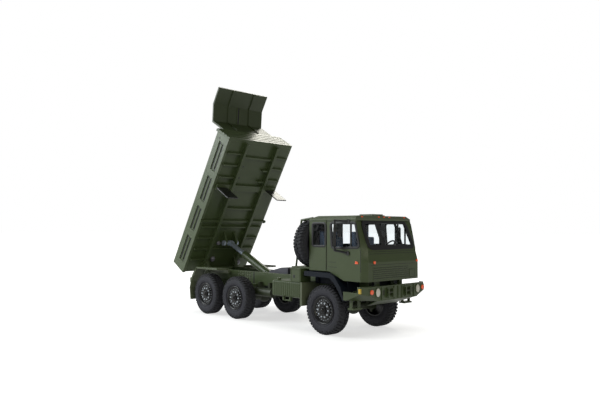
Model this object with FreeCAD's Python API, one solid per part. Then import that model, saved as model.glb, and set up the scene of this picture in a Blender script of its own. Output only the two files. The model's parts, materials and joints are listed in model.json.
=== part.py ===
import FreeCAD, Part
import math
import os

# Die-cast 1:64 model of a three-axle military dump truck, body tipped up on its hoist.
# Millimetres. +X is forward, +Y is the truck's left, +Z is up. While the pieces are made, x = 0 is
# the front axle and z = 0 the ground. Last, everything is moved so that the origin is the middle of
# the model's box, on the ground.

V = FreeCAD.Vector

# ---- fits and clearances
RUNNING_GAP = 0.05      # radial, pin in bore
PANEL_GAP = 0.15        # between separately moulded panels
SIDE_GAP = 0.3          # beside a part that turns

# ---- wheels and axles
WHEEL_RADIUS = 9.21
AXLE_Z = 9.21           # height of the axles
TYRE_WIDTH = 5.4
TYRE_OUTER_Y = 17.3
TYRE_BORE = 5.1
TYRE_BEAD = 4.1
TYRE_SHOULDER = 0.9
RIM_WALL = 0.5
RIM_DISC = 0.7
RIM_DISC_OFFSET = 1.1
HUB_RADIUS = 1.4
HUB_FACE = 2.5          # from the tyre's middle plane
AXLE_RADIUS = 0.9
BOGIE_TYRE_GAP = 3.18   # between the middle and rear tyres
MIDDLE_AXLE_X = -53.4
REAR_AXLE_X = MIDDLE_AXLE_X - 2 * WHEEL_RADIUS - BOGIE_TYRE_GAP
AXLES = (("front", 0.0), ("middle", MIDDLE_AXLE_X), ("rear", REAR_AXLE_X))
TAIL_X = REAR_AXLE_X - WHEEL_RADIUS     # rear of the rear tyres
TYRE_MID_Y = TYRE_OUTER_Y - TYRE_WIDTH / 2
TYRE_INNER_Y = TYRE_OUTER_Y - TYRE_WIDTH

# ---- axle housings and springs
HOUSING_RADIUS = 1.7
HOUSING_BULGE = 3.0
KNUCKLE_LENGTH = 1.2
KNUCKLE_RADIUS = 2.3
KINGPIN_RADIUS = 0.5
SPRING_HALF_LENGTH = 8.0
SPRING_SAG = 2.2
SPRING_THICK = 0.7
SPRING_Y = (6.1, 7.4)
SPRING_SEAT_Z = 11.0

# ---- frame
RAIL_Y = (6.0, 7.6)
RAIL_Z = (14.6, 20.2)
RAIL_REAR_X = TAIL_X - 3.39
RAIL_WALL = 0.6
CROSSMEMBERS_X = (RAIL_REAR_X + 0.7, (MIDDLE_AXLE_X + REAR_AXLE_X) / 2, -34.4, -15.0, 12.6)
CROSSMEMBER_LENGTH = 1.4
CROSSMEMBER_TOP = 16.6
RAIL_STEP_X = 14.0              # the rails are lower in front of this
RAIL_STEP_TOP = 18.6
REAR_CAB_MOUNT_X = (-7.4, -5.6)
FRONT_CAB_MOUNT_X = (16.6, 17.8)
BOGIE_PLATE = (REAR_AXLE_X - 4.0, MIDDLE_AXLE_X + 3.9, 11.6, 15.0)      # x0, x1, z0, z1, beside the rails
BOGIE_PLATE_THICK = 0.7
TOW_BORE_RADIUS = 0.8
TOW_PLATE_THICK = 1.6
TOW_PLATE_TOP = 18.2
TOW_Z = 16.3

# ---- body (the tipping box), in its own frame: origin on the hinge, +X towards its front when down
TIP_ANGLE = 59.5
HINGE_X, HINGE_Z = RAIL_REAR_X + 1.5, 19.55
HINGE_PIN_RADIUS = 0.9
HINGE_EYE_RADIUS = 1.9
HINGE_LUG_Y = (7.9, 9.3)
BED_REAR = -3.9
BED_LENGTH = 70.57
BED_HALF_WIDTH = 18.91
BED_UNDER = 3.95
BED_FLOOR = 1.0
BED_WALL_HEIGHT = 9.57
BED_WALL = 1.2
PANEL_DEPTH = 0.45
REAR_PANELS = ((0.5, 13.9), (17.5, 29.9))           # start, end along the wall
FRONT_PANELS = ((33.67, 21.07), (17.87, 3.87))      # start, end, back from the body's front
PANEL_Z = (6.1, 10.1)
HEADBOARD_THICK = 1.0
HEADBOARD_HEIGHT = 10.9
HEADBOARD_RIBS = 5
HEADBOARD_RIB = 0.4
HEADBOARD_GROOVE = 0.5
GUARD_HALF_WIDTH = 14.7
GUARD_THICK = 0.8
GUARD_RISE = 21.1
GUARD_SLOPE = (7.2, 3.6)
GUARD_REACH = 8.1
GUARD_RIBS_Y = (-6.3, 6.3)
LONG_Y = (8.5, 9.7)
LONG_DEPTH = 2.3
CROSS_DEPTH = 1.3
CROSS_BARS = ((-3.1, 0.9), (9.4, 0.7), (21.5, 0.8), (31.6, 0.8))        # start, length
OUTER_BARS = ((3.6, 0.6), (9.4, 0.7), (15.6, 0.6), (21.5, 0.8))         # start, length
FRONT_CROSS_BAR = (8.37, 0.9)                                           # start back from the front, length
FRONT_OUTER_BARS = ((18.77, 0.6), (12.67, 0.6), (6.87, 0.6))            # start back from the front, length
ROUND_BAR_X = 25.0
ROUND_BAR_RADIUS = 0.5
ROUND_BAR_OVERHANG = 0.7        # past the body's sides
FLAP_MARGIN = (0.2, 0.3)        # past the tyre's inner and outer face
FLAP_AHEAD = 0.69               # of the middle tyre, with the body down
FLAP_THICK = 0.5
FLAP_DEPTH = 11.0
BEAM = (1.0, 3.0)               # the beam over the flaps: start behind them, length
TAILGATE_THICK = 1.0
TAILGATE_PIN_RADIUS = 0.4
TAILGATE_PIN_DROP = 0.9
TAILGATE_POST = 0.4

# ---- hoist: one cylinder between the frame rails
HOIST_BASE_X, HOIST_BASE_Z = HINGE_X + 38.1, 17.8
HOIST_EYE = (14.5, 0.45)       # the rod's eye, in the body's frame
BARREL_RADIUS = 1.85
BARREL_LENGTH = 22.0
BARREL_BASE_WALL = 3.2
ROD_RADIUS = 1.1
ROD_LENGTH = 15.8
EYE_RADIUS = 1.25
EYE_HALF_WIDTH = 1.2
EYE_PIN_RADIUS = 0.6
EYE_PIN_HALF_LENGTH = 2.2
HOIST_EAR_Y = (2.6, 3.4)
HOIST_BOSS = (1.2, 0.7)         # radius and height of the boss outside each ear
BASE_EYE_RADIUS = 1.4
BASE_PIN_RADIUS = 0.7
BASE_EAR_Y = (2.0, 2.9)
BASE_BEAM_TOP = 15.7
BASE_EAR_TOP = 19.1

# ---- cab
CAB_WALL = 0.8
CAB_REAR = -8.0
CAB_HALF_WIDTH = 16.3
CAB_FRONT = 19.1
CAB_FRONT_HALF = 14.1
CAB_CORNER_X = 17.8
CAB_BELT_Z = 32.1
CAB_NOSE_FRONT = 19.9           # the nose bulges below the belt
CAB_NOSE_FRONT_HALF = 14.8
CAB_NOSE_Z = 27.5
CAB_TOP_Z = 42.4
CAB_TOP_FRONT = 14.9
CAB_TOP_FRONT_HALF = 13.3
CAB_TOP_CORNER_X = 15.3
CAB_BOTTOM_Z = 23.6
CAB_NOSE_BOTTOM_Z = 20.6
ARCH_X = WHEEL_RADIUS + 0.39    # the wheel arch slopes down from ARCH_TOP_X to here
ARCH_TOP_X = ARCH_X - 7.2
ROOF_Z = 44.2
ROOF_EDGE = 0.7
ROOF_BEVEL_REAR = 3.2
ROOF_BEVEL_SIDE = 1.7
ROOF_BEVEL_FRONT = 0.8
ROOF_FRONT_X = 15.6
DOOR_REAR_X = 1.2
DOOR_FRONT_X = 17.5
DOOR_TOP_FRONT_X = 15.3
HOOD_SEAM_Z = 31.2
QUARTER_WINDOW = (-6.1, 0.4, 33.0, 41.3)            # x0, x1, z0, z1
DOOR_WINDOW = ((3.9, 32.5), (16.9, 32.9), (15.0, 41.4), (3.2, 41.4))
WINDSHIELD = ((-12.9, 33.0), (12.9, 33.0), (12.2, 41.7), (-12.2, 41.7))      # y, z
REAR_WINDOW = (2.0, 12.6, 33.4, 41.2)               # y0, y1, z0, z1
GLASS_SETBACK = 0.25
GLASS_THICK = 0.3

# ---- cab fittings
SEAT_Y = 9.3
SEAT_HALF_WIDTH = 3.9
SEAT_REAR_X, SEAT_FOOT_X = -5.4, 1.6
SEAT_OUTLINE = ((SEAT_FOOT_X, 27.4), (4.6, 27.4), (4.6, 29.4), (-2.2, 29.2), (-3.6, 38.2), (SEAT_REAR_X, 38.2))
DASH_OUTLINE = ((13.4, 29.0), (18.2, 29.0), (18.2, 31.6), (17.2, 32.4), (13.4, 32.4))
DASH_END_GAP = 0.75             # short of the windshield's corner posts
STEERING_COLUMN = ((13.1, 30.94), (10.7, 33.0))     # x, z of its foot and of the wheel's middle
STEERING_COLUMN_RADIUS = 0.35
STEERING_WHEEL_RADIUS = 2.3
STEERING_RING_RADIUS = 0.3
STEERING_SPOKE = (0.3, 0.25)    # half width, half thickness
MIRROR_X = 7.4
MIRROR_Y = CAB_HALF_WIDTH + 2.5
MIRROR_TUBE_Z = (31.6, 42.4)
MIRROR_Z = (33.0, 39.9)
MIRROR_WIDTH = 2.4
MIRROR_THICK = 0.9
MIRROR_ROUND = 0.35
MIRROR_FOOT_THICK = 0.4
MIRROR_TURN = -46.0             # degrees, of the right head from facing back
MIRROR_ARM_RADIUS = 0.38
MIRROR_FOOT = (11.7, 30.6)      # x, z on the door
MIRROR_TOP_FOOT = (12.0, 42.1)  # x, z beside the gutter

# ---- bumper and steps
BUMPER_FRONT_X = 21.6
BUMPER_THICK = 1.2
BUMPER_FLAT_HALF = 15.9
BUMPER_END = (19.4, 18.8)       # x, y of the swept corner
BUMPER_RETURN_X = 11.6
BUMPER_CUT_Y = 11.3             # the lower corner is cut off from here
BUMPER_CUT_X = 13.0             # to here on the return
BUMPER_CUT_Z = 16.5             # and up to here at the swept corner
BUMPER_CUT_PLATE = 0.7
BUMPER_Z = (14.0, 19.1)
BUMPER_RETURN_TOP = 17.0
SKID_FOOT = (13.7, 11.5)        # x, z of its lower edge
SKID_HALF = (11.5, 7.9)         # half width at the bumper and at the foot
STEP_X = (12.6, 15.2)
STEP_Y = (12.6, 17.4)
STEP_Z = (10.6, 14.0)
STEP_ROD = 0.5
STEP_THICK = 0.6

# ---- fenders and mudguards: outlines in x and z
FENDER_TOP = ((-9.7, 23.2), (3.5, 23.1), (ARCH_X - 3.7, 22.1), (ARCH_X - 0.6, 18.3), (ARCH_X + 1.1, 13.8))
FENDER_UNDER = ((ARCH_X + 0.5, 13.4), (ARCH_X - 1.4, 16.5), (ARCH_X - 3.9, 19.7), (3.5, 21.3), (-9.6, 21.4))
FENDER_SKIN = 0.6
FENDER_Y = (11.2, 16.7, 17.5)   # inner edge, lip start, outer edge
FENDER_LINER = 0.6
FENDER_BRACKET_X = (-8.6, -7.4)
FENDER_BRACKET_DEPTH = 1.6
FENDER_POST = 0.8
ARCH_FRONT = (0.6, 14.0, 16.5)                      # thickness, half width, foot z: wall ahead of the wheel
MUDGUARD_LINE = ((TAIL_X + 18.81, 21.0), (TAIL_X + 2.31, 21.0), (TAIL_X - 0.59, 17.7), (TAIL_X - 2.39, 14.4),
                 (TAIL_X - 3.19, 11.2), (TAIL_X - 2.39, 5.8))
MUDGUARD_THICK = 0.5
MUDGUARD_Y = (12.0, 17.6)
MUDGUARD_ARMS_X = (REAR_AXLE_X + 5.0, REAR_AXLE_X - 5.6)
MUDGUARD_ARM = 1.2
MUDGUARD_ARM_Z = (18.9, 19.9)
APRON = (10.9, 11.5)            # y, the plate inside the wheel
APRON_FOOT = ((TAIL_X - 1.39, 15.8), (TAIL_X + 0.21, 16.4), (TAIL_X + 3.21, 18.8), (TAIL_X + 18.81, 18.8))
TAIL_LAMP = (14.3, 16.7, 13.7, 15.9)                # y0, y1, z0, z1
TAIL_LAMP_REACH = 1.5

# ---- side boxes
TANK_REAR_X = -27.3
TANK_Y = (8.6, 18.0)
TANK_Z = (12.5, 18.8)
TANK_ROUND = 0.9
TANK_ARM = (1.0, 15.4, 17.4)                        # length, z0, z1
TANK_ARM_INSET = (2.0, 3.0)                         # from the tank's rear and front
SPLASH_BEHIND = 1.09                                # of the front tyre
SPLASH_THICK = 1.1
SPLASH_Z = (9.8, 18.7)
SPLASH_TANK_GAP = 0.1
AIR_TANK_X = (-49.0, -36.5)
AIR_TANK_Y, AIR_TANK_Z = 9.5, 12.0
AIR_TANK_RADIUS = 1.85
AIR_TANK_STRAPS_X = (-46.6, -39.8)
CABINET_X = (-16.8, -11.2)
CABINET_Y = (12.4, 17.9)
PLATFORM_X = (-18.2, -8.4)
PLATFORM_HALF = 16.0
PLATFORM_Z = (24.0, 24.6)
PLATFORM_LEG_X = (-16.0, -14.6)
PLATFORM_LEG_Y = 1.2

# ---- spare wheel and its carrier
SPARE_Y = -10.4
SPARE_ROOF_DROP = 1.29          # the top of its tyre is this far below the roof
SPARE_Z = ROOF_Z - WHEEL_RADIUS - SPARE_ROOF_DROP
SPARE_BACK_GAP = 0.9            # to the cab's rear wall
SPARE_CLEARANCE = 0.1           # round its tread
CARRIER_TUBE = 0.4
CARRIER_Y = (-14.2, -6.6)
CARRIER_FOOT_X = -17.5
CARRIER_SHOULDER = (-14.5, 42.7)
CARRIER_TOP_X = -8.2
CARRIER_TOP_DROP = 0.7          # below the roof
CARRIER_BAR_X = -15.95          # the bar across the wheel's middle
CARRIER_STUD = 0.7

# ---- drive line
ENGINE = (-10.0, 12.6, 5.6, 13.2, 20.2)             # x0, x1, half width, z0, z1
GEARBOX = (-33.0, -15.0, 4.4, 12.0, 18.6)           # x0, x1, half width, z0, z1
GEARBOX_HUMP = ((-45.0, 20.7), (-37.0, 22.6), (-33.0, 22.6), (-33.0, 18.2), (-45.0, 18.2))
SHAFT_RADIUS = 0.8


# ---- shapes
def block(x0, x1, y0, y1, z0, z1):
    return Part.makeBox(x1 - x0, y1 - y0, z1 - z0, V(x0, y0, z0))


def prism(corners, travel):
    """A closed outline of corners, moved along travel."""
    return Part.Face(Part.makePolygon(corners + corners[:1])).extrude(travel)


def side_prism(points, y0, y1):
    """An outline in x and z, from y0 to y1."""
    return prism([V(x, y0, z) for x, z in points], V(0, y1 - y0, 0))


def plan_prism(points, z0, z1):
    """An outline in x and y, from z0 to z1."""
    return prism([V(x, y, z0) for x, y in points], V(0, 0, z1 - z0))


def front_prism(points, x0, x1):
    """An outline in y and z, from x0 to x1."""
    return prism([V(x0, y, z) for y, z in points], V(x1 - x0, 0, 0))


def loft_plans(plans):
    """A straight loft between outlines in x and y, each at its own height."""
    wires = [Part.makePolygon([V(x, y, z) for x, y in plan + plan[:1]]) for plan, z in plans]
    return Part.makeLoft(wires, True, True)


def rod_y(x, z, radius, y0, y1):
    return Part.makeCylinder(radius, y1 - y0, V(x, y0, z), V(0, 1, 0))


def rod(start, end, radius):
    return Part.makeCylinder(radius, (end - start).Length, start, end - start)


def fused(shapes):
    return shapes[0].fuse(shapes[1:]).removeSplitter() if len(shapes) > 1 else shapes[0]


def mirrored(shape):
    return shape.mirror(V(0, 0, 0), V(0, 1, 0))


def pair(shape):
    """A piece on the right side and its mirror image on the left."""
    return [shape, mirrored(shape)]


nodes = {}


def add(name, *shapes):
    """Stores one sub-part. It may hold several solids that do not touch."""
    solids = [solid for shape in shapes for solid in shape.Solids]
    nodes[name] = solids[0] if len(solids) == 1 else Part.makeCompound(solids)


# ---- wheels
def tyre(axis_point, axis, side):
    """A tyre about an axis. side is -1 or +1, the way its outer face looks along the axis."""
    half, bead = TYRE_WIDTH / 2, TYRE_BEAD / 2
    shoulder = TYRE_SHOULDER * (1 - math.sqrt(0.5))
    crown, wall = WHEEL_RADIUS - TYRE_SHOULDER, half - TYRE_SHOULDER
    sidewall = TYRE_BORE + (WHEEL_RADIUS - TYRE_BORE) * 0.35
    corners = [V(-bead, 0, TYRE_BORE), V(bead, 0, TYRE_BORE), V(half, 0, sidewall), V(half, 0, crown)]
    edges = [Part.LineSegment(a, b).toShape() for a, b in zip(corners, corners[1:])]
    edges.append(Part.Arc(V(half, 0, crown), V(half - shoulder, 0, WHEEL_RADIUS - shoulder),
                          V(wall, 0, WHEEL_RADIUS)).toShape())
    edges.append(Part.LineSegment(V(wall, 0, WHEEL_RADIUS), V(-wall, 0, WHEEL_RADIUS)).toShape())
    edges.append(Part.Arc(V(-wall, 0, WHEEL_RADIUS), V(-half + shoulder, 0, WHEEL_RADIUS - shoulder),
                          V(-half, 0, crown)).toShape())
    edges.append(Part.LineSegment(V(-half, 0, crown), V(-half, 0, sidewall)).toShape())
    edges.append(Part.LineSegment(V(-half, 0, sidewall), V(-bead, 0, TYRE_BORE)).toShape())
    return turned(edges, axis_point, axis, side)


def rim(axis_point, axis, side):
    """A dished rim: barrel, disc and hub."""
    bead, disc = TYRE_BEAD / 2, RIM_DISC_OFFSET
    inner = TYRE_BORE - RIM_WALL
    corners = [V(-bead, 0, TYRE_BORE), V(bead, 0, TYRE_BORE), V(bead, 0, inner), V(disc + RIM_DISC, 0, inner),
               V(disc + RIM_DISC, 0, HUB_RADIUS), V(HUB_FACE, 0, HUB_RADIUS), V(HUB_FACE, 0, 0),
               V(disc, 0, 0), V(disc, 0, inner), V(-bead, 0, inner)]
    edges = [Part.LineSegment(a, b).toShape() for a, b in zip(corners, corners[1:] + corners[:1])]
    return turned(edges, axis_point, axis, side)


def turned(edges, axis_point, axis, side):
    """Turns a section drawn in x (along the axis) and z (radius), then sets it on its axis."""
    solid = Part.Face(Part.Wire(edges)).revolve(V(0, 0, 0), V(1, 0, 0), 360)
    solid = Part.Solid(solid) if solid.ShapeType == "Shell" else solid
    solid.Placement = FreeCAD.Placement(axis_point, FreeCAD.Rotation(V(1, 0, 0), axis * side))
    return solid


def make_wheelsets():
    for name, x in AXLES:
        sides = [(V(x, side * TYRE_MID_Y, AXLE_Z), V(0, 1, 0), side) for side in (-1, 1)]
        add(f"{name}_tyres", *[tyre(*place) for place in sides])
        rims = [rim(*place) for place in sides]
        hub_y = TYRE_MID_Y + RIM_DISC_OFFSET + RIM_DISC / 2
        add(f"{name}_axle_and_rims", fused(rims + [rod_y(x, AXLE_Z, AXLE_RADIUS, -hub_y, hub_y)]))


# ---- chassis
def make_axle_housings():
    for name, x in AXLES:
        steered = name == "front"
        end = TYRE_INNER_Y - SIDE_GAP - (KNUCKLE_LENGTH if steered else 0)
        bore = rod_y(x, AXLE_Z, AXLE_RADIUS + RUNNING_GAP, -TYRE_OUTER_Y, TYRE_OUTER_Y)
        tube = rod_y(x, AXLE_Z, HOUSING_RADIUS, -end, end)
        bulge = Part.makeSphere(HOUSING_BULGE, V(x, 0, AXLE_Z))
        seats = pair(block(x - 1.6, x + 1.6, *SPRING_Y, AXLE_Z, SPRING_SEAT_Z))
        add(f"{name}_axle_housing", fused([tube, bulge] + seats).cut(bore))
        if steered:
            pin_y, pin_reach = end + KNUCKLE_LENGTH / 2, 1.3 * KNUCKLE_RADIUS
            kingpin = rod(V(x, pin_y, AXLE_Z - pin_reach), V(x, pin_y, AXLE_Z + pin_reach), KINGPIN_RADIUS)
            knuckle = fused([rod_y(x, AXLE_Z, KNUCKLE_RADIUS, end, end + KNUCKLE_LENGTH), kingpin])
            add("front_knuckles", *pair(knuckle.cut(bore)))


def make_springs():
    leaves = []
    for _, x in AXLES:
        low = [V(x - SPRING_HALF_LENGTH, 0, SPRING_SEAT_Z + SPRING_SAG), V(x, 0, SPRING_SEAT_Z),
               V(x + SPRING_HALF_LENGTH, 0, SPRING_SEAT_Z + SPRING_SAG)]
        high = [p + V(0, 0, SPRING_THICK) for p in low]
        section = Part.Wire([Part.Arc(*low).toShape(), Part.LineSegment(low[2], high[2]).toShape(),
                             Part.Arc(*high).toShape(), Part.LineSegment(high[0], low[0]).toShape()])
        leaf = Part.Face(section).extrude(V(0, SPRING_Y[1] - SPRING_Y[0], 0))
        leaf.translate(V(0, SPRING_Y[0], 0))
        leaves += pair(leaf)
    add("leaf_springs", *leaves)


def make_frame():
    rail_front = BUMPER_FRONT_X - BUMPER_THICK
    outer = fused([block(RAIL_REAR_X, RAIL_STEP_X, *RAIL_Y, *RAIL_Z),
                   block(RAIL_STEP_X, rail_front, *RAIL_Y, RAIL_Z[0], RAIL_STEP_TOP)])
    web_y = RAIL_Y[1] - RAIL_WALL
    low, step = RAIL_Z[0] + RAIL_WALL, RAIL_STEP_X - RAIL_WALL
    hollow = [block(RAIL_REAR_X - 1, step, RAIL_Y[0] - 1, web_y, low, RAIL_Z[1] - RAIL_WALL),
              block(step, rail_front + 1, RAIL_Y[0] - 1, web_y, low, RAIL_STEP_TOP - RAIL_WALL)]
    rail = outer.cut(hollow)
    hangers = []
    for _, x in AXLES:
        for end in (-SPRING_HALF_LENGTH, SPRING_HALF_LENGTH):
            inner = x + end * 0.9
            hangers.append(block(min(inner, x + end), max(inner, x + end), *SPRING_Y,
                                 SPRING_SEAT_Z + SPRING_SAG + SPRING_THICK + 0.05, RAIL_Z[0]))
    eye = rod_y(HINGE_X, HINGE_Z, HINGE_EYE_RADIUS, web_y, RAIL_Y[1])
    x0, x1, z0, z1 = BOGIE_PLATE
    bogie = block(x0, x1, RAIL_Y[1], RAIL_Y[1] + BOGIE_PLATE_THICK, z0, z1)
    mounts = [block(*REAR_CAB_MOUNT_X, *RAIL_Y, RAIL_Z[1], CAB_BOTTOM_Z),
              block(*FRONT_CAB_MOUNT_X, *RAIL_Y, RAIL_STEP_TOP, CAB_NOSE_BOTTOM_Z)]
    rails = pair(fused([rail, eye, bogie] + hangers + mounts))
    cross = [block(x, x + CROSSMEMBER_LENGTH, -web_y, web_y, RAIL_Z[0], CROSSMEMBER_TOP)
             for x in CROSSMEMBERS_X]
    pin_half = HINGE_LUG_Y[1] + 0.4
    pin = rod_y(HINGE_X, HINGE_Z, HINGE_PIN_RADIUS, -pin_half, pin_half)
    add("frame_rails", fused(rails + cross + [pin]))
    back = RAIL_REAR_X - TOW_PLATE_THICK
    plate = block(back, RAIL_REAR_X, -RAIL_Y[1], RAIL_Y[1], RAIL_Z[0], TOW_PLATE_TOP)
    bore = rod(V(back - 1, 0, TOW_Z), V(RAIL_REAR_X + 1, 0, TOW_Z), TOW_BORE_RADIUS)
    add("rear_tow_plate", plate.cut(bore))


def make_hoist_mount():
    web_y = RAIL_Y[1] - RAIL_WALL
    low, high = HOIST_BASE_X - 2.0, HOIST_BASE_X + 2.0
    beam = block(low, high, -web_y, web_y, RAIL_Z[0] + RAIL_WALL, BASE_BEAM_TOP)
    ear = side_prism(((low, BASE_BEAM_TOP), (high, BASE_BEAM_TOP), (HOIST_BASE_X + 1.2, BASE_EAR_TOP),
                      (HOIST_BASE_X - 1.2, BASE_EAR_TOP)), *BASE_EAR_Y)
    pin = rod_y(HOIST_BASE_X, HOIST_BASE_Z, BASE_PIN_RADIUS, -BASE_EAR_Y[1], BASE_EAR_Y[1])
    add("hoist_mount", fused([beam, pin] + pair(ear)))


def make_drive_line():
    x0, x1, half, z0, z1 = ENGINE
    add("engine_block", block(x0, x1, -half, half, z0, z1))
    x0, x1, half, z0, z1 = GEARBOX
    gearbox = fused([block(x0, x1, -half, half, z0, z1), side_prism(GEARBOX_HUMP, -half, half)])
    add("gearbox", gearbox)
    shafts = []
    for start_x, (_, axle_x), toward in ((GEARBOX[0], AXLES[1], -1), (GEARBOX[1], AXLES[0], 1)):
        end = V(axle_x - toward * (HOUSING_BULGE - 0.3), 0, AXLE_Z + 0.6)
        shafts.append(rod(V(start_x, 0, GEARBOX[3] + 1.2), end, SHAFT_RADIUS))
    gap = HOUSING_BULGE - 0.3
    shafts.append(rod(V(AXLES[1][1] - gap, 0, AXLE_Z), V(AXLES[2][1] + gap, 0, AXLE_Z), SHAFT_RADIUS))
    bulges = [Part.makeSphere(HOUSING_BULGE, V(x, 0, AXLE_Z)) for _, x in AXLES]
    add("drive_shafts", *[shaft.cut(bulges + [gearbox]) for shaft in shafts])


# ---- front end
def bumper_cut(grow, thick):
    """A slab on the plane that cuts off the bumper's lower right corner, larger by grow."""
    corners = [V(BUMPER_FRONT_X, -BUMPER_CUT_Y, BUMPER_Z[0]), V(BUMPER_END[0], -BUMPER_END[1], BUMPER_CUT_Z),
               V(BUMPER_CUT_X, -BUMPER_END[1], BUMPER_Z[0])]
    middle = (corners[0] + corners[1] + corners[2]) / 3
    outward = (corners[1] - corners[0]).cross(corners[2] - corners[0]).normalize()
    outward = outward if outward.z < 0 else outward * -1
    return prism([middle + (c - middle) * grow for c in corners], outward * thick)


def make_bumper():
    front, back = BUMPER_FRONT_X, BUMPER_FRONT_X - BUMPER_THICK
    end_x, end_y = BUMPER_END
    right = [(front, -BUMPER_FLAT_HALF), (end_x, -end_y), (BUMPER_RETURN_X, -end_y),
             (BUMPER_RETURN_X, -end_y + 0.9), (end_x - 0.6, -end_y + 0.9), (back, -BUMPER_FLAT_HALF + 0.9)]
    left = [(x, -y) for x, y in reversed(right)]
    band = plan_prism(right + left, *BUMPER_Z)
    behind = block(BUMPER_RETURN_X - 1, end_x - 1.2, -end_y - 1, end_y + 1, BUMPER_RETURN_TOP, BUMPER_Z[1] + 1)
    band = band.cut([behind] + pair(bumper_cut(4, 8)))
    add("front_bumper", fused([band] + pair(bumper_cut(1, -BUMPER_CUT_PLATE))))
    foot_x, foot_z = SKID_FOOT
    thick = 0.8
    wide, narrow = SKID_HALF
    slope = side_prism(((back, BUMPER_Z[0]), (front - 0.3, BUMPER_Z[0]), (foot_x + thick, foot_z),
                        (foot_x - 0.4, foot_z)), -wide, wide)
    plan = ((front, -wide), (front, wide), (foot_x - 1, narrow), (foot_x - 1, -narrow))
    add("skid_plate", slope.common(plan_prism(plan, 0, BUMPER_Z[1])))


def make_steps():
    """Stirrup steps: two rods down from the bumper's ends and a tread across them."""
    y0, y1 = STEP_Y
    x_mid = sum(STEP_X) / 2
    tread = block(*STEP_X, y0, y1, STEP_Z[0], STEP_Z[0] + STEP_THICK)
    sides = [block(x_mid - STEP_ROD, x_mid + STEP_ROD, y, y + STEP_THICK, STEP_Z[0], STEP_Z[1] + STEP_THICK)
             for y in (y0, y1 - STEP_THICK)]
    top = block(x_mid - STEP_ROD, x_mid + STEP_ROD, *STEP_Y, STEP_Z[1], STEP_Z[1] + STEP_THICK)
    add("cab_steps", *pair(fused([tread, top] + sides).cut(mirrored(bumper_cut(1, -BUMPER_CUT_PLATE)))))


def make_fenders():
    inner_y, lip_y, outer_y = FENDER_Y
    lip = side_prism(FENDER_TOP + FENDER_UNDER, -outer_y, -lip_y)
    bend_x = FENDER_TOP[1][0]
    below = tuple((x - (FENDER_SKIN if x > bend_x else 0), z - FENDER_SKIN) for x, z in reversed(FENDER_TOP))
    skin = side_prism(FENDER_TOP + below, -lip_y, -inner_y)
    foot_z = RAIL_Z[1] - FENDER_BRACKET_DEPTH
    bracket = block(*FENDER_BRACKET_X, -inner_y, -RAIL_Y[1], foot_z, RAIL_Z[1])
    post = block(*FENDER_BRACKET_X, -inner_y - FENDER_POST, -inner_y, foot_z,
                 FENDER_TOP[0][1] - FENDER_SKIN / 2)
    liner_foot = FENDER_TOP[3][1]
    liner = side_prism(FENDER_TOP[:4] + ((FENDER_TOP[0][0], liner_foot),), -inner_y, -inner_y + FENDER_LINER)
    thick, half, foot = ARCH_FRONT
    wall = block(ARCH_X - thick, ARCH_X, -half, -RAIL_Y[1], foot, CAB_NOSE_BOTTOM_Z - PANEL_GAP)
    fender = fused([lip, skin, bracket, post, liner, wall])
    add("front_fenders", fender.cut(spare_room()), mirrored(fender))


# ---- cab
def cab_plan(inset, front, front_half, corner_x):
    """The cab's outline from above, drawn in by inset."""
    half = CAB_HALF_WIDTH - inset
    corner = (front - inset, -front_half + inset * 0.4)
    right = [(CAB_REAR + inset, -half), (corner_x - inset * 0.6, -half), corner]
    return right + [(x, -y) for x, y in reversed(right)]


def cab_volume(inset):
    """The closed cab below the roof, drawn in by inset on every face but its top."""
    nose_plan = cab_plan(inset, CAB_NOSE_FRONT, CAB_NOSE_FRONT_HALF, CAB_CORNER_X)
    belt_plan = cab_plan(inset, CAB_FRONT, CAB_FRONT_HALF, CAB_CORNER_X)
    high_plan = cab_plan(inset, CAB_TOP_FRONT, CAB_TOP_FRONT_HALF, CAB_TOP_CORNER_X)
    foot = plan_prism(nose_plan, CAB_NOSE_BOTTOM_Z - 2, CAB_NOSE_Z)
    nose_part = loft_plans(((nose_plan, CAB_NOSE_Z), (belt_plan, CAB_BELT_Z)))
    upper = loft_plans(((belt_plan, CAB_BELT_Z), (high_plan, CAB_TOP_Z)))
    sill, nose = CAB_BOTTOM_Z + inset, CAB_NOSE_BOTTOM_Z + inset
    side = side_prism(((CAB_REAR, sill), (ARCH_TOP_X + inset * 0.3, sill), (ARCH_X + inset * 0.3, nose),
                       (CAB_NOSE_FRONT, nose), (CAB_NOSE_FRONT, CAB_TOP_Z), (CAB_REAR, CAB_TOP_Z)),
                      -CAB_HALF_WIDTH, CAB_HALF_WIDTH)
    return fused([foot, nose_part, upper]).common(side)


def door_outline(grow):
    rear, front, top_front = DOOR_REAR_X - grow, DOOR_FRONT_X + grow, DOOR_TOP_FRONT_X + grow
    return ((rear, CAB_NOSE_BOTTOM_Z - 1), (front, CAB_NOSE_BOTTOM_Z - 1), (front, CAB_BELT_Z + 0.7),
            (top_front, CAB_TOP_Z), (rear, CAB_TOP_Z))


def cab_windows():
    """Cutters for the right side's windows, the windshield and the rear windows."""
    far = CAB_HALF_WIDTH + 1
    near = CAB_HALF_WIDTH - CAB_WALL - 0.5
    x0, x1, z0, z1 = QUARTER_WINDOW
    quarter = side_prism(((x0, z0), (x1, z0), (x1, z1), (x0, z1)), -far, -near)
    door = side_prism(DOOR_WINDOW, -far, -near)
    shield = front_prism(WINDSHIELD, CAB_TOP_FRONT - 2, CAB_FRONT + 1)
    y0, y1, z0, z1 = REAR_WINDOW
    rear = block(CAB_REAR - 1, CAB_REAR + CAB_WALL + 0.5, y0, y1, z0, z1)
    return quarter, door, shield, rear


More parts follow.
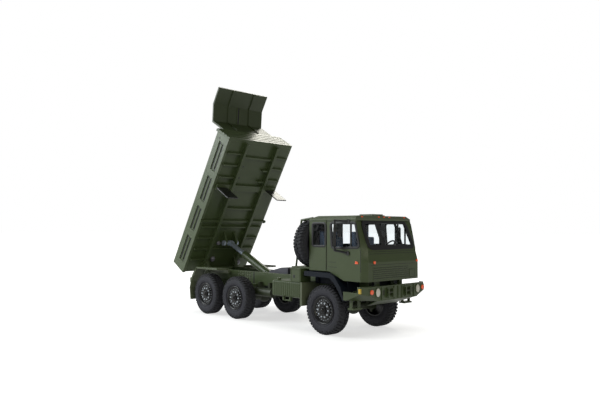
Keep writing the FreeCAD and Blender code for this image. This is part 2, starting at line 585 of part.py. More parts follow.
def make_cab():
    outer, inner = cab_volume(0.0), cab_volume(CAB_WALL)
    shell = outer.cut(inner)
    quarter, door, shield, rear = cab_windows()
    far = CAB_HALF_WIDTH + 1
    inside = CAB_HALF_WIDTH - CAB_WALL
    rear_zone = block(CAB_REAR - 1, CAB_REAR + CAB_WALL, -far, far, 0, CAB_TOP_Z + 1)
    floor_front = CAB_NOSE_FRONT - CAB_WALL - 0.4
    floor_zone = block(CAB_REAR + CAB_WALL, floor_front, -inside, inside, 0, CAB_BOTTOM_Z + CAB_WALL)
    side_zone = block(CAB_REAR + CAB_WALL, DOOR_REAR_X - PANEL_GAP, -far, -inside, 0, CAB_TOP_Z + 1)
    door_zone = side_prism(door_outline(0.0), -far, -inside)
    door_space = side_prism(door_outline(PANEL_GAP), -far, -inside)

    add("cab_rear_wall", shell.common(rear_zone).cut(pair(rear)))
    add("cab_floor", shell.common(floor_zone))
    right_side = shell.common(side_zone).cut(quarter)
    right_door = shell.common(door_zone).cut(door)
    add("cab_sides", *pair(right_side))
    add("right_door", right_door)
    add("left_door", mirrored(right_door))
    taken = [rear_zone, floor_zone] + pair(side_zone) + pair(door_space)
    front = shell.cut(taken).cut(shield)
    above = block(CAB_REAR, CAB_NOSE_FRONT + 1, -far, far, HOOD_SEAM_Z, CAB_TOP_Z + 1)
    below = block(CAB_REAR, CAB_NOSE_FRONT + 1, -far, far, 0, HOOD_SEAM_Z)
    add("windshield_frame", front.common(above))
    add("cab_front_panel", front.common(below))

    glass = cab_volume(GLASS_SETBACK).cut(cab_volume(GLASS_SETBACK + GLASS_THICK))
    openings = [shield] + pair(quarter) + pair(door) + pair(rear)
    add("cab_glass", *[glass.common(opening) for opening in openings])


def make_roof():
    half = CAB_HALF_WIDTH
    edge_z = CAB_TOP_Z + ROOF_EDGE
    front_half = CAB_TOP_FRONT_HALF + 0.4

    def outline(rear, side, front, corner_x):
        right = [(rear, -side), (corner_x, -side), (front, -front_half)]
        return right + [(x, -y) for x, y in reversed(right)]

    base = outline(CAB_REAR, half, ROOF_FRONT_X, CAB_TOP_CORNER_X)
    crown = outline(CAB_REAR + ROOF_BEVEL_REAR, half - ROOF_BEVEL_SIDE, ROOF_FRONT_X - ROOF_BEVEL_FRONT,
                    CAB_TOP_CORNER_X - ROOF_BEVEL_FRONT)
    rim_part = plan_prism(base, CAB_TOP_Z, edge_z)
    bevel = loft_plans(((base, edge_z), (crown, ROOF_Z)))
    hollow = block(CAB_REAR + ROOF_BEVEL_REAR, CAB_TOP_FRONT - 1.6, -half + ROOF_BEVEL_SIDE + 0.3,
                   half - ROOF_BEVEL_SIDE - 0.3, CAB_TOP_Z - 1, ROOF_Z - CAB_WALL)
    add("cab_roof", fused([rim_part, bevel]).cut(hollow))


def make_cab_fittings():
    floor_top = CAB_BOTTOM_Z + CAB_WALL
    seat = side_prism(((SEAT_REAR_X, floor_top), (SEAT_FOOT_X, floor_top)) + SEAT_OUTLINE,
                      SEAT_Y - SEAT_HALF_WIDTH, SEAT_Y + SEAT_HALF_WIDTH)
    add("seats", *pair(seat))
    add("dashboard", side_prism(DASH_OUTLINE, DASH_END_GAP - CAB_FRONT_HALF, CAB_FRONT_HALF - DASH_END_GAP))
    foot, hub = [V(x, SEAT_Y, z) for x, z in STEERING_COLUMN]
    column = rod(foot, hub, STEERING_COLUMN_RADIUS)
    ring = Part.makeTorus(STEERING_WHEEL_RADIUS, STEERING_RING_RADIUS, hub, hub - foot)
    half, thick = STEERING_SPOKE
    spoke = block(-half, half, -STEERING_WHEEL_RADIUS, STEERING_WHEEL_RADIUS, -thick, thick)
    spoke.Placement = FreeCAD.Placement(hub, FreeCAD.Rotation(V(0, 0, 1), hub - foot))
    add("steering_wheel", fused([ring, spoke, column]))

    head = block(-MIRROR_THICK / 2, MIRROR_THICK / 2, -MIRROR_WIDTH / 2, MIRROR_WIDTH / 2, *MIRROR_Z)
    edges_across = [e for e in head.Edges if abs(e.Vertexes[0].X - e.Vertexes[1].X) > 0.1]
    head = head.makeFillet(MIRROR_ROUND, edges_across)
    head.Placement = FreeCAD.Placement(V(MIRROR_X, -MIRROR_Y, 0), FreeCAD.Rotation(V(0, 0, 1), -MIRROR_TURN))
    low, high = [V(MIRROR_X, -MIRROR_Y, z) for z in MIRROR_TUBE_Z]
    arms = [rod(low, high, MIRROR_ARM_RADIUS)]
    for (x, z), corner in ((MIRROR_FOOT, low), (MIRROR_TOP_FOOT, high)):
        arms.append(rod(V(x, -CAB_HALF_WIDTH, z), corner, MIRROR_ARM_RADIUS))
        arms.append(Part.makeSphere(MIRROR_ARM_RADIUS, corner))
        arms.append(rod_y(x, z, 2 * MIRROR_ARM_RADIUS, -CAB_HALF_WIDTH - MIRROR_FOOT_THICK,
                          -CAB_HALF_WIDTH))
    mirror = fused([head] + arms).cut(block(0, CAB_FRONT, -CAB_HALF_WIDTH, 0, 20, 50))
    add("door_mirrors", *pair(mirror))


# ---- boxes behind the cab
def spare_room():
    """The space that the spare wheel takes, with its clearance."""
    rear_x = CAB_REAR - SPARE_BACK_GAP - TYRE_WIDTH - SIDE_GAP
    return Part.makeCylinder(WHEEL_RADIUS + SPARE_CLEARANCE, TYRE_WIDTH + 2 * SIDE_GAP,
                             V(rear_x, SPARE_Y, SPARE_Z), V(1, 0, 0))


def make_side_boxes():
    splash_front = AXLES[0][1] - WHEEL_RADIUS - SPLASH_BEHIND
    splash_rear = splash_front - SPLASH_THICK
    tank_front = splash_rear - SPLASH_TANK_GAP
    tank = block(TANK_REAR_X, tank_front, -TANK_Y[1], -TANK_Y[0], *TANK_Z)
    long_edges = [e for e in tank.Edges if abs(e.Vertexes[0].X - e.Vertexes[1].X) > 1]
    tank = tank.makeFillet(TANK_ROUND, long_edges)
    arm_length, arm_z0, arm_z1 = TANK_ARM
    arms = [block(x, x + arm_length, -TANK_Y[0], -RAIL_Y[1], arm_z0, arm_z1)
            for x in (TANK_REAR_X + TANK_ARM_INSET[0], tank_front - TANK_ARM_INSET[1])]
    box = fused([tank] + arms)
    add("fuel_tank", box)
    add("battery_box", mirrored(box))
    tank_ends = [V(x, -AIR_TANK_Y, AIR_TANK_Z) for x in AIR_TANK_X]
    straps = [block(x, x + 1.0, -AIR_TANK_Y, -RAIL_Y[1], AIR_TANK_Z, RAIL_Z[0] + 1.5)
              for x in AIR_TANK_STRAPS_X]
    add("air_tanks", *pair(fused([rod(*tank_ends, AIR_TANK_RADIUS)] + straps)))
    plate = block(splash_rear, splash_front, -TANK_Y[1], -RAIL_Y[1], *SPLASH_Z)
    add("splash_panels", *pair(plate))
    right = block(*CABINET_X, -CABINET_Y[1], -CABINET_Y[0], TANK_Z[1], PLATFORM_Z[0])
    add("side_cabinets", right.cut(spare_room()), mirrored(right))
    platform = block(*PLATFORM_X, -PLATFORM_HALF, PLATFORM_HALF, *PLATFORM_Z)
    legs = [block(*PLATFORM_LEG_X, y, y + PLATFORM_LEG_Y, RAIL_Z[1], PLATFORM_Z[0])
            for y in (-RAIL_Y[1], RAIL_Y[1] - PLATFORM_LEG_Y)]
    add("rear_platform", fused([platform.cut(spare_room())] + legs))


def make_spare():
    x = CAB_REAR - SPARE_BACK_GAP - TYRE_WIDTH / 2
    centre = V(x, SPARE_Y, SPARE_Z)
    add("spare_tyre", tyre(centre, V(1, 0, 0), -1))
    add("spare_rim", rim(centre, V(1, 0, 0), -1))
    hub_face = x - HUB_FACE
    shoulder_x, shoulder_z = CARRIER_SHOULDER
    tubes = []
    for y in CARRIER_Y:
        foot, shoulder = V(CARRIER_FOOT_X, y, PLATFORM_Z[1]), V(shoulder_x, y, shoulder_z)
        roof_end = V(CARRIER_TOP_X, y, ROOF_Z - CARRIER_TOP_DROP)
        tubes += [rod(foot, shoulder, CARRIER_TUBE), rod(shoulder, roof_end, CARRIER_TUBE),
                  Part.makeSphere(CARRIER_TUBE, shoulder)]
    across = [rod(V(x_bar, CARRIER_Y[0], z), V(x_bar, CARRIER_Y[1], z), CARRIER_TUBE)
              for x_bar, z in (CARRIER_SHOULDER, (CARRIER_BAR_X, SPARE_Z))]
    stud = rod(V(CARRIER_BAR_X, SPARE_Y, SPARE_Z), V(hub_face, SPARE_Y, SPARE_Z), CARRIER_STUD)
    keep = block(-30, CAB_REAR, -20, 0, PLATFORM_Z[1], 50)
    add("spare_carrier", fused(tubes + across + [stud]).common(keep))


def make_mudguards():
    above = tuple((x, z) for x, z in MUDGUARD_LINE)
    inner = tuple((x + MUDGUARD_THICK * (0 if z > 20 else 1), z - MUDGUARD_THICK * (1 if z > 15 else 0))
                  for x, z in reversed(MUDGUARD_LINE))
    guard = side_prism(above + inner, -MUDGUARD_Y[1], -MUDGUARD_Y[0])
    arms = [block(x, x + MUDGUARD_ARM, -APRON[1], -RAIL_Y[1], *MUDGUARD_ARM_Z) for x in MUDGUARD_ARMS_X]
    apron = side_prism(above[:3] + APRON_FOOT, -APRON[1], -APRON[0])
    top = side_prism(above[:2] + inner[-2:], -MUDGUARD_Y[0], -APRON[0])
    y0, y1, z0, z1 = TAIL_LAMP
    lamp = block(MUDGUARD_LINE[3][0] - TAIL_LAMP_REACH - 0.3, MUDGUARD_LINE[3][0], -y1, -y0, z0, z1)
    add("rear_mudguards", *pair(fused([guard, lamp, apron, top] + arms)))


# ---- hoist
def tip_rotation():
    return FreeCAD.Rotation(V(0, 1, 0), -TIP_ANGLE)


def bed_to_truck(point):
    """A point (x, z) in the tipped body's frame, as a point on the truck's middle plane."""
    return V(HINGE_X, 0, HINGE_Z) + tip_rotation().multVec(V(point[0], 0, point[1]))


def hoist_line():
    base = V(HOIST_BASE_X, 0, HOIST_BASE_Z)
    eye = bed_to_truck(HOIST_EYE)
    return base, eye, (eye - base).normalize()


def make_hoist():
    base, eye, along = hoist_line()
    top = base + along * BARREL_LENGTH
    barrel = fused([rod(base + along * 0.8, top, BARREL_RADIUS),
                    rod_y(HOIST_BASE_X, HOIST_BASE_Z, BASE_EYE_RADIUS, -1.5, 1.5)])
    rod_bore = rod(base + along * BARREL_BASE_WALL, top + along, ROD_RADIUS + RUNNING_GAP)
    pin_bore = rod_y(HOIST_BASE_X, HOIST_BASE_Z, BASE_PIN_RADIUS + RUNNING_GAP, -2, 2)
    sides = pair(block(HOIST_BASE_X - 3, HOIST_BASE_X + 2, 1.6, 4, HOIST_BASE_Z - 3, HOIST_BASE_Z + 3))
    add("hoist_barrel", barrel.cut([rod_bore, pin_bore] + sides))
    piston_rod = fused([rod(eye - along * ROD_LENGTH, eye, ROD_RADIUS),
                        rod_y(eye.x, eye.z, EYE_RADIUS, -EYE_HALF_WIDTH, EYE_HALF_WIDTH),
                        rod_y(eye.x, eye.z, EYE_PIN_RADIUS, -EYE_PIN_HALF_LENGTH, EYE_PIN_HALF_LENGTH)])
    add("hoist_rod", piston_rod)


# ---- body, made in its own frame
def bed_walls():
    front = BED_REAR + BED_LENGTH
    top = BED_UNDER + BED_WALL_HEIGHT
    inner_y = BED_HALF_WIDTH - BED_WALL
    wall = block(BED_REAR, front - HEADBOARD_THICK, -BED_HALF_WIDTH, -inner_y, BED_UNDER, top)
    rows = REAR_PANELS + tuple((front - start, front - end) for start, end in FRONT_PANELS)
    recesses = [block(x0, x1, -BED_HALF_WIDTH - 1, -BED_HALF_WIDTH + PANEL_DEPTH, *PANEL_Z) for x0, x1 in rows]
    pin_x, pin_z = tailgate_pin()
    bore = rod_y(pin_x, pin_z, TAILGATE_PIN_RADIUS + RUNNING_GAP, -BED_HALF_WIDTH - 1, -inner_y + 1)
    right = wall.cut(recesses + [bore])
    floor_rear = pin_x + TAILGATE_THICK / 2 + PANEL_GAP
    floor = block(floor_rear, front - HEADBOARD_THICK, -inner_y, inner_y, BED_UNDER, BED_UNDER + BED_FLOOR)
    return {"bed_floor": floor, "bed_right_wall": right, "bed_left_wall": mirrored(right)}


def bed_front():
    front = BED_REAR + BED_LENGTH
    top = BED_UNDER + HEADBOARD_HEIGHT
    board = block(front - HEADBOARD_THICK, front, -BED_HALF_WIDTH, BED_HALF_WIDTH, BED_UNDER, top)
    pitch = HEADBOARD_HEIGHT / HEADBOARD_RIBS
    ribs = [block(front, front + HEADBOARD_RIB, -BED_HALF_WIDTH, BED_HALF_WIDTH,
                  BED_UNDER + pitch * i, BED_UNDER + pitch * (i + 1) - HEADBOARD_GROOVE)
            for i in range(HEADBOARD_RIBS)]
    rise_z = BED_UNDER + GUARD_RISE
    slope_x, slope_z = front + GUARD_SLOPE[0], rise_z + GUARD_SLOPE[1]
    tip_x = slope_x + GUARD_REACH
    under = ((front, top), (front, rise_z), (slope_x, slope_z), (tip_x, slope_z))
    over = ((tip_x, slope_z + GUARD_THICK), (slope_x - 0.3, slope_z + GUARD_THICK),
            (front - GUARD_THICK, rise_z + 0.4), (front - GUARD_THICK, top))
    plate = side_prism(under + over, -GUARD_HALF_WIDTH, GUARD_HALF_WIDTH)
    deep = 0.5
    rib_line = ((front, top + 1.0), (front + deep, top + 1.0), (front + deep, rise_z - 0.3),
                (slope_x, slope_z - deep), (tip_x, slope_z - deep), (tip_x, slope_z), (slope_x, slope_z),
                (front, rise_z))
    ribs_under = [side_prism(rib_line, y - 0.3, y + 0.3) for y in GUARD_RIBS_Y]
    return {"bed_headboard": fused([board] + ribs), "cab_guard": fused([plate] + ribs_under)}


def bed_underside():
    inner_y = BED_HALF_WIDTH - BED_WALL
    front = BED_REAR + BED_LENGTH
    low = BED_UNDER - CROSS_DEPTH
    longs = pair(block(BED_REAR + 0.8, front - HEADBOARD_THICK, *LONG_Y, BED_UNDER - LONG_DEPTH, BED_UNDER))
    cross_bars = CROSS_BARS + ((front - FRONT_CROSS_BAR[0], FRONT_CROSS_BAR[1]),)
    outer_bars = OUTER_BARS + tuple((front - back, length) for back, length in FRONT_OUTER_BARS)
    cross = [block(x, x + length, -LONG_Y[0], LONG_Y[0], low, BED_UNDER) for x, length in cross_bars]
    outer = [block(x, x + length, LONG_Y[1], inner_y, low, BED_UNDER) for x, length in outer_bars]
    flap_x = AXLES[1][1] + WHEEL_RADIUS + FLAP_AHEAD - HINGE_X
    beam = block(flap_x - BEAM[0], flap_x - BEAM[0] + BEAM[1], -inner_y, inner_y, low, BED_UNDER)
    bar_half = BED_HALF_WIDTH + ROUND_BAR_OVERHANG
    half_bar = block(ROUND_BAR_X - ROUND_BAR_RADIUS, ROUND_BAR_X + ROUND_BAR_RADIUS, -inner_y, inner_y,
                     BED_UNDER - 2 * ROUND_BAR_RADIUS, BED_UNDER)
    bar = rod_y(ROUND_BAR_X, BED_UNDER - ROUND_BAR_RADIUS, ROUND_BAR_RADIUS, -bar_half, bar_half)
    bar = bar.cut(block(ROUND_BAR_X - 1, ROUND_BAR_X + 1, -40, 40, BED_UNDER, BED_UNDER + 2))
    lug = side_prism(((BED_REAR + 0.8, BED_UNDER - 0.2), (-HINGE_EYE_RADIUS * 0.9, -0.6),
                      (HINGE_EYE_RADIUS * 0.9, -0.6), (5.0, BED_UNDER - 0.2)), *HINGE_LUG_Y)
    lugs = pair(fused([lug, rod_y(0, 0, HINGE_EYE_RADIUS, *HINGE_LUG_Y)]))
    pin_bore = rod_y(0, 0, HINGE_PIN_RADIUS + RUNNING_GAP, -LONG_Y[1] - 1, LONG_Y[1] + 1)
    eye_x, eye_z = HOIST_EYE
    ear = side_prism(((eye_x - 1.6, BED_UNDER), (eye_x - 1.3, eye_z - 1.0), (eye_x + 1.3, eye_z - 1.0),
                      (eye_x + 4.5, BED_UNDER)), *HOIST_EAR_Y)
    boss = rod_y(eye_x, eye_z, HOIST_BOSS[0], HOIST_EAR_Y[1], HOIST_EAR_Y[1] + HOIST_BOSS[1])
    frame = fused(longs + cross + outer + [mirrored(b) for b in outer] + [beam, half_bar, bar] + pair(ear)
                  + pair(boss) + lugs)
    flap = block(flap_x, flap_x + FLAP_THICK, TYRE_INNER_Y - FLAP_MARGIN[0], TYRE_OUTER_Y + FLAP_MARGIN[1],
                 BED_UNDER - FLAP_DEPTH, low)
    return {"bed_subframe": frame.cut(pin_bore), "mud_flaps": Part.makeCompound(pair(flap))}


def tailgate_pin():
    """Where the tailgate turns: x and z in the body's frame."""
    return BED_REAR + TAILGATE_POST + TAILGATE_THICK / 2, BED_UNDER + BED_WALL_HEIGHT - TAILGATE_PIN_DROP


def tailgate():
    pin_x, pin_z = tailgate_pin()
    half = BED_HALF_WIDTH - BED_WALL - PANEL_GAP
    x0, x1 = pin_x - TAILGATE_THICK / 2, pin_x + TAILGATE_THICK / 2
    gate = block(x0, x1, -half, half, BED_UNDER + 0.1, BED_UNDER + BED_WALL_HEIGHT - 0.1)
    posts = [block(x0 - TAILGATE_POST, x0, y - 0.5, y + 0.5, BED_UNDER + 0.6, BED_UNDER + BED_WALL_HEIGHT - 1.8)
             for y in (-half + 1.0, -half / 3, half / 3, half - 1.0)]
    pin = rod_y(pin_x, pin_z, TAILGATE_PIN_RADIUS, -BED_HALF_WIDTH, BED_HALF_WIDTH)
    return fused([gate, pin] + posts)


def make_bed():
    placement = FreeCAD.Placement(V(HINGE_X, 0, HINGE_Z), tip_rotation())
    for group in (bed_walls(), bed_front(), bed_underside(), {"tailgate": tailgate()}):
        for name, shape in group.items():
            shape.Placement = placement.multiply(shape.Placement)
            add(name, shape)


def box_of_model():
    box = FreeCAD.BoundBox()
    for shape in nodes.values():
        box.add(shape.optimalBoundingBox())
    return box


make_wheelsets()
make_axle_housings()
make_springs()
make_frame()
make_hoist_mount()
make_drive_line()
make_bumper()
make_steps()
make_fenders()
make_cab()
make_roof()
make_cab_fittings()
make_side_boxes()
make_spare()
make_mudguards()
make_hoist()
make_bed()

model_box = box_of_model()
ORIGIN = V(-(model_box.XMin + model_box.XMax) / 2, -(model_box.YMin + model_box.YMax) / 2, -model_box.ZMin)
os.makedirs("parts", exist_ok=True)
for node_name, node_shape in nodes.items():
    node_shape.translate(ORIGIN)
    node_shape.exportStep(f"parts/{node_name}.step")
box_size = (model_box.XLength, model_box.YLength, model_box.ZLength)
print(len(nodes), "nodes; box", [round(v, 2) for v in box_size])
print("origin moved by", [round(v, 3) for v in ORIGIN])
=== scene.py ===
import json
import math

import bmesh
import bpy
from mathutils import Matrix, Vector, noise


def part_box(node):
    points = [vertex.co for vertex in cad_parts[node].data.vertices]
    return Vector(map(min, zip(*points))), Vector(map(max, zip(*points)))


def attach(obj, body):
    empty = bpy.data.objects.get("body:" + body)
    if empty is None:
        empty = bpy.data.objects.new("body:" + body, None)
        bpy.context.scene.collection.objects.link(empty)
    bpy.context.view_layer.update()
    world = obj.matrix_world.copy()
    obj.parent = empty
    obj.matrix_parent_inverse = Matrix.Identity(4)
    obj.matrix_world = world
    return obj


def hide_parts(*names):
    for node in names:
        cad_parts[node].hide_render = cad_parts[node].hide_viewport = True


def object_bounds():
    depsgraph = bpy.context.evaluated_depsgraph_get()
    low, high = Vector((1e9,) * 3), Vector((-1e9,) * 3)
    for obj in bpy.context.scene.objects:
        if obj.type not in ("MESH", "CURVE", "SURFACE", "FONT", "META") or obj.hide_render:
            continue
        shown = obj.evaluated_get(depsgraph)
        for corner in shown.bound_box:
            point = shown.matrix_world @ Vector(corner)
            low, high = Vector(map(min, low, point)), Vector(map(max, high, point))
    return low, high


# Looks of a 1:64 die-cast dump truck. Shapes are drawn in millimetres and scaled once, in finish_piece.
# Two frames are used: TRUCK has x = 0 on the front axle, and BED has its origin on the body's hinge,
# with +X towards the body's front when it lies down.

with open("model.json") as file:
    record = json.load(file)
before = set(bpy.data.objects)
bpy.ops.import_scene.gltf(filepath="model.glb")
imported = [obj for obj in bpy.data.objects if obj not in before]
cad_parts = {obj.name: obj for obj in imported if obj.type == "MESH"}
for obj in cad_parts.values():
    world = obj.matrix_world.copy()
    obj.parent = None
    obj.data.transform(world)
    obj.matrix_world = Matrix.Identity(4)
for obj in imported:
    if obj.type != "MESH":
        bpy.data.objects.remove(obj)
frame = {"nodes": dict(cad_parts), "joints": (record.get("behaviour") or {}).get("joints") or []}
cad_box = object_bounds()
MM = 0.001
JOINTS = {joint["name"]: joint for joint in frame["joints"]}


def mm_box(node):
    low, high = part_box(node)
    return low / MM, high / MM


def mid_box(node):
    low, high = mm_box(node)
    return (low + high) / 2


AXLE_X = mid_box("front_tyres").x
TRUCK = Matrix.Translation((AXLE_X, 0, 0))
TIP = math.radians(JOINTS["bed_tip"]["range_deg"][1])
BED = Matrix.Translation(Vector(JOINTS["bed_tip"]["pos_m"]) / MM) @ Matrix.Rotation(-TIP, 4, "Y")
SIDES = {"right": -1, "left": 1}


# ---- materials: noise scales are per metre, bumps and edges are in metres
PAINT_MOTTLE, PAINT_GRAIN = 140, 2600
PLASTIC_MOTTLE, PLASTIC_GRAIN = 220, 3000
RUBBER_GRAIN, GASKET_GRAIN = 2200, 1500
METAL_MOTTLE, METAL_GRAIN = 900, 4000
LENS_MOTTLE, LENS_RIBS = 1500, 3500
GLASS_WAVES = 260
GRAIN_BUMP, FINE_BUMP = 0.00003, 0.00002
PAINT_EDGE, PLASTIC_EDGE = 0.00012, 0.00009
EDGE_FLAT, EDGE_SHARP = 0.99, 0.80      # softened normal against true normal: no painted highlight, full painted highlight
EDGE_HIGHLIGHT = 0.55                             # how much of the edge's painted highlight colour shows on a sharp edge
GRAIN_RANGE = (0.3, 0.7)                # the part of the noise that changes the roughness
GLASS_INDEX = 1.16                      # lower than real glass, so that reflections stay quiet
GLASS_TINT = (0.93, 0.96, 0.97, 1.0)
CAB_MIDDLE = (6.0, 0.0, 33.0)           # in TRUCK, for telling the cab's inner faces


def linear(red, green, blue):
    """A colour given as 0 to 255 on screen, in the renderer's linear values."""
    channels = [c / 255 for c in (red, green, blue)]
    return tuple(c / 12.92 if c < 0.04045 else ((c + 0.055) / 1.055) ** 2.4 for c in channels) + (1.0,)


def new_material(name, roughness, metallic=0.0):
    mat = bpy.data.materials.new(name)
    mat.use_nodes = True
    nodes, links = mat.node_tree.nodes, mat.node_tree.links
    shader = nodes["Principled BSDF"]
    shader.inputs["Roughness"].default_value = roughness
    shader.inputs["Metallic"].default_value = metallic
    return mat, nodes, links, shader


def noise_node(nodes, links, scale, detail=3.0):
    coords = nodes.new("ShaderNodeTexCoord")
    pattern = nodes.new("ShaderNodeTexNoise")
    pattern.inputs["Scale"].default_value = scale
    pattern.inputs["Detail"].default_value = detail
    links.new(coords.outputs["Object"], pattern.inputs["Vector"])
    return pattern.outputs["Fac"]


def feed(links, socket, value):
    """Gives an input a fixed value or another node's output."""
    if isinstance(value, bpy.types.NodeSocket):
        links.new(value, socket)
    else:
        socket.default_value = value


def mixed(nodes, links, factor, low, high):
    """Low to high by factor. Either end is a colour or another node's output."""
    mix = nodes.new("ShaderNodeMix")
    mix.data_type = "RGBA"
    for name, value in (("Factor", factor), ("A", low), ("B", high)):
        feed(links, mix.inputs[name], value)
    return mix.outputs["Result"]


def ranged(nodes, links, value, low, high, to_low=0.0, to_high=1.0):
    change = nodes.new("ShaderNodeMapRange")
    for name, number in (("From Min", low), ("From Max", high), ("To Min", to_low), ("To Max", to_high)):
        change.inputs[name].default_value = number
    links.new(value, change.inputs["Value"])
    return change.outputs["Result"]


def math_step(nodes, links, operation, first, second):
    step = nodes.new("ShaderNodeMath")
    step.operation = operation
    feed(links, step.inputs[0], first)
    feed(links, step.inputs[1], second)
    return step.outputs["Value"]


def vector_step(nodes, links, operation, *values):
    """One step of vector maths, on one or two values."""
    step = nodes.new("ShaderNodeVectorMath")
    step.operation = operation
    for socket, value in zip(step.inputs, values):
        feed(links, socket, value)
    return step.outputs["Value" if operation in ("DOT_PRODUCT", "LENGTH") else "Vector"]


def ray_strength(nodes, links, glossy, other):
    """1 for rays from the camera or through glass. Glossy rays and the others each get a value below 1."""
    ray = nodes.new("ShaderNodeLightPath").outputs
    seen = math_step(nodes, links, "MAXIMUM", ray["Is Camera Ray"], ray["Is Transmission Ray"])
    unseen = ranged(nodes, links, ray["Is Glossy Ray"], 0.0, 1.0, other, glossy)
    return math_step(nodes, links, "MAXIMUM", seen, unseen)


def softened_normal(nodes, radius):
    bevel = nodes.new("ShaderNodeBevel")
    bevel.samples = 4
    bevel.inputs["Radius"].default_value = radius
    return bevel.outputs["Normal"]


def edge_mask(nodes, links, normal):
    """1 on outer and inner edges, where the softened normal leaves the true one."""
    geometry = nodes.new("ShaderNodeNewGeometry")
    dot = vector_step(nodes, links, "DOT_PRODUCT", normal, geometry.outputs["Normal"])
    return ranged(nodes, links, dot, EDGE_FLAT, EDGE_SHARP)


def shaded(colour, factor):
    return tuple(c * factor for c in colour[:3]) + (1.0,)


def mottled(nodes, links, scale, colour, low, high):
    """The colour, between low and high times its strength."""
    return mixed(nodes, links, noise_node(nodes, links, scale), shaded(colour, low), shaded(colour, high))


def grained(nodes, links, shader, scale, roughness, below, above):
    """Roughness that changes with a fine noise, which is returned."""
    grain = noise_node(nodes, links, scale, 2.0)
    rough = ranged(nodes, links, grain, *GRAIN_RANGE, roughness - below, roughness + above)
    links.new(rough, shader.inputs["Roughness"])
    return grain


def bumped(nodes, links, shader, height, distance, strength, normal=None):
    bump = nodes.new("ShaderNodeBump")
    bump.inputs["Distance"].default_value = distance
    bump.inputs["Strength"].default_value = strength
    links.new(height, bump.inputs["Height"])
    if normal is not None:
        links.new(normal, bump.inputs["Normal"])
    links.new(bump.outputs["Normal"], shader.inputs["Normal"])


def paint(name, colour, highlight_colour, roughness):
    """Sprayed paint: slight mottling, a fine orange-peel bump and edges painted paler as a highlight."""
    mat, nodes, links, shader = new_material(name, roughness)
    surface = mottled(nodes, links, PAINT_MOTTLE, colour, low=0.90, high=1.10)
    normal = softened_normal(nodes, PAINT_EDGE)
    # sharp edges get the paler colour as a painted highlight
    edge_highlight = ranged(nodes, links, edge_mask(nodes, links, normal), 0.0, 1.0, 0.0, EDGE_HIGHLIGHT)
    links.new(mixed(nodes, links, edge_highlight, surface, highlight_colour), shader.inputs["Base Color"])
    grain = grained(nodes, links, shader, PAINT_GRAIN, roughness, below=0.05, above=0.07)
    bumped(nodes, links, shader, grain, GRAIN_BUMP, strength=0.35, normal=normal)
    return mat


def add_painted_inside_shade(mat):
    """Faces that look towards the cab's middle get a dark colour, painted shade for the cab's inside."""
    nodes, links = mat.node_tree.nodes, mat.node_tree.links
    shader = nodes["Principled BSDF"]
    coords, geometry = nodes.new("ShaderNodeTexCoord"), nodes.new("ShaderNodeNewGeometry")
    centre = (TRUCK @ Vector(CAB_MIDDLE)) * MM
    outwards = vector_step(nodes, links, "SUBTRACT", coords.outputs["Object"], centre)
    facing_out = vector_step(nodes, links, "DOT_PRODUCT", outwards, geometry.outputs["True Normal"])
    inside = math_step(nodes, links, "LESS_THAN", facing_out, 0.0)
    outside = shader.inputs["Base Color"].links[0].from_socket
    links.new(mixed(nodes, links, inside, outside, INSIDE_SHADE_COLOUR), shader.inputs["Base Color"])
    return mat


def plastic(name, colour, roughness, grain_scale=PLASTIC_GRAIN, bump=0.3, specular=0.5):
    """Moulded plastic with a fine grain."""
    mat, nodes, links, shader = new_material(name, roughness)
    shader.inputs["Specular IOR Level"].default_value = specular
    surface = mottled(nodes, links, PLASTIC_MOTTLE, colour, low=0.85, high=1.18)
    links.new(surface, shader.inputs["Base Color"])
    grain = grained(nodes, links, shader, grain_scale, roughness, below=0.06, above=0.06)
    bumped(nodes, links, shader, grain, GRAIN_BUMP, bump, softened_normal(nodes, PLASTIC_EDGE))
    return mat


def metal(name, colour, roughness, metallic):
    """Plated metal with fine turning marks."""
    mat, nodes, links, shader = new_material(name, roughness, metallic)
    links.new(mottled(nodes, links, METAL_MOTTLE, colour, low=0.8, high=1.0), shader.inputs["Base Color"])
    bumped(nodes, links, shader, noise_node(nodes, links, METAL_GRAIN), FINE_BUMP, strength=0.25)
    return mat


def lens(name, colour, glow):
    """A tinted lamp lens, ribbed finely, whose glow is painted light."""
    mat, nodes, links, shader = new_material(name, 0.18)
    paler = tuple(min(1.0, c * 1.25 + 0.03) for c in colour[:3]) + (1.0,)
    pattern = noise_node(nodes, links, LENS_MOTTLE)
    links.new(mixed(nodes, links, pattern, colour, paler), shader.inputs["Base Color"])
    shader.inputs["Coat Weight"].default_value = 0.6
    shader.inputs["Emission Color"].default_value = colour
    shader.inputs["Emission Strength"].default_value = glow
    bumped(nodes, links, shader, noise_node(nodes, links, LENS_RIBS), FINE_BUMP, strength=0.4)
    return mat


def clear_glass(name):
    """Smooth glass, which rays that light the inside of the cab pass straight through."""
    mat, nodes, links, shader = new_material(name, 0.02)
    shader.inputs["Base Color"].default_value = GLASS_TINT
    shader.inputs["Transmission Weight"].default_value = 1.0
    shader.inputs["IOR"].default_value = GLASS_INDEX
    bumped(nodes, links, shader, noise_node(nodes, links, GLASS_WAVES), FINE_BUMP, strength=0.05)
    path = nodes.new("ShaderNodeLightPath")
    clear = nodes.new("ShaderNodeBsdfTransparent")
    surface = shader.outputs["BSDF"]
    for ray in ("Is Shadow Ray", "Is Diffuse Ray"):
        mix = nodes.new("ShaderNodeMixShader")
        links.new(path.outputs[ray], mix.inputs[0])
        links.new(surface, mix.inputs[1])
        links.new(clear.outputs[0], mix.inputs[2])
        surface = mix.outputs[0]
    output = next(n for n in nodes if n.type == "OUTPUT_MATERIAL")
    links.new(surface, output.inputs["Surface"])
    return mat
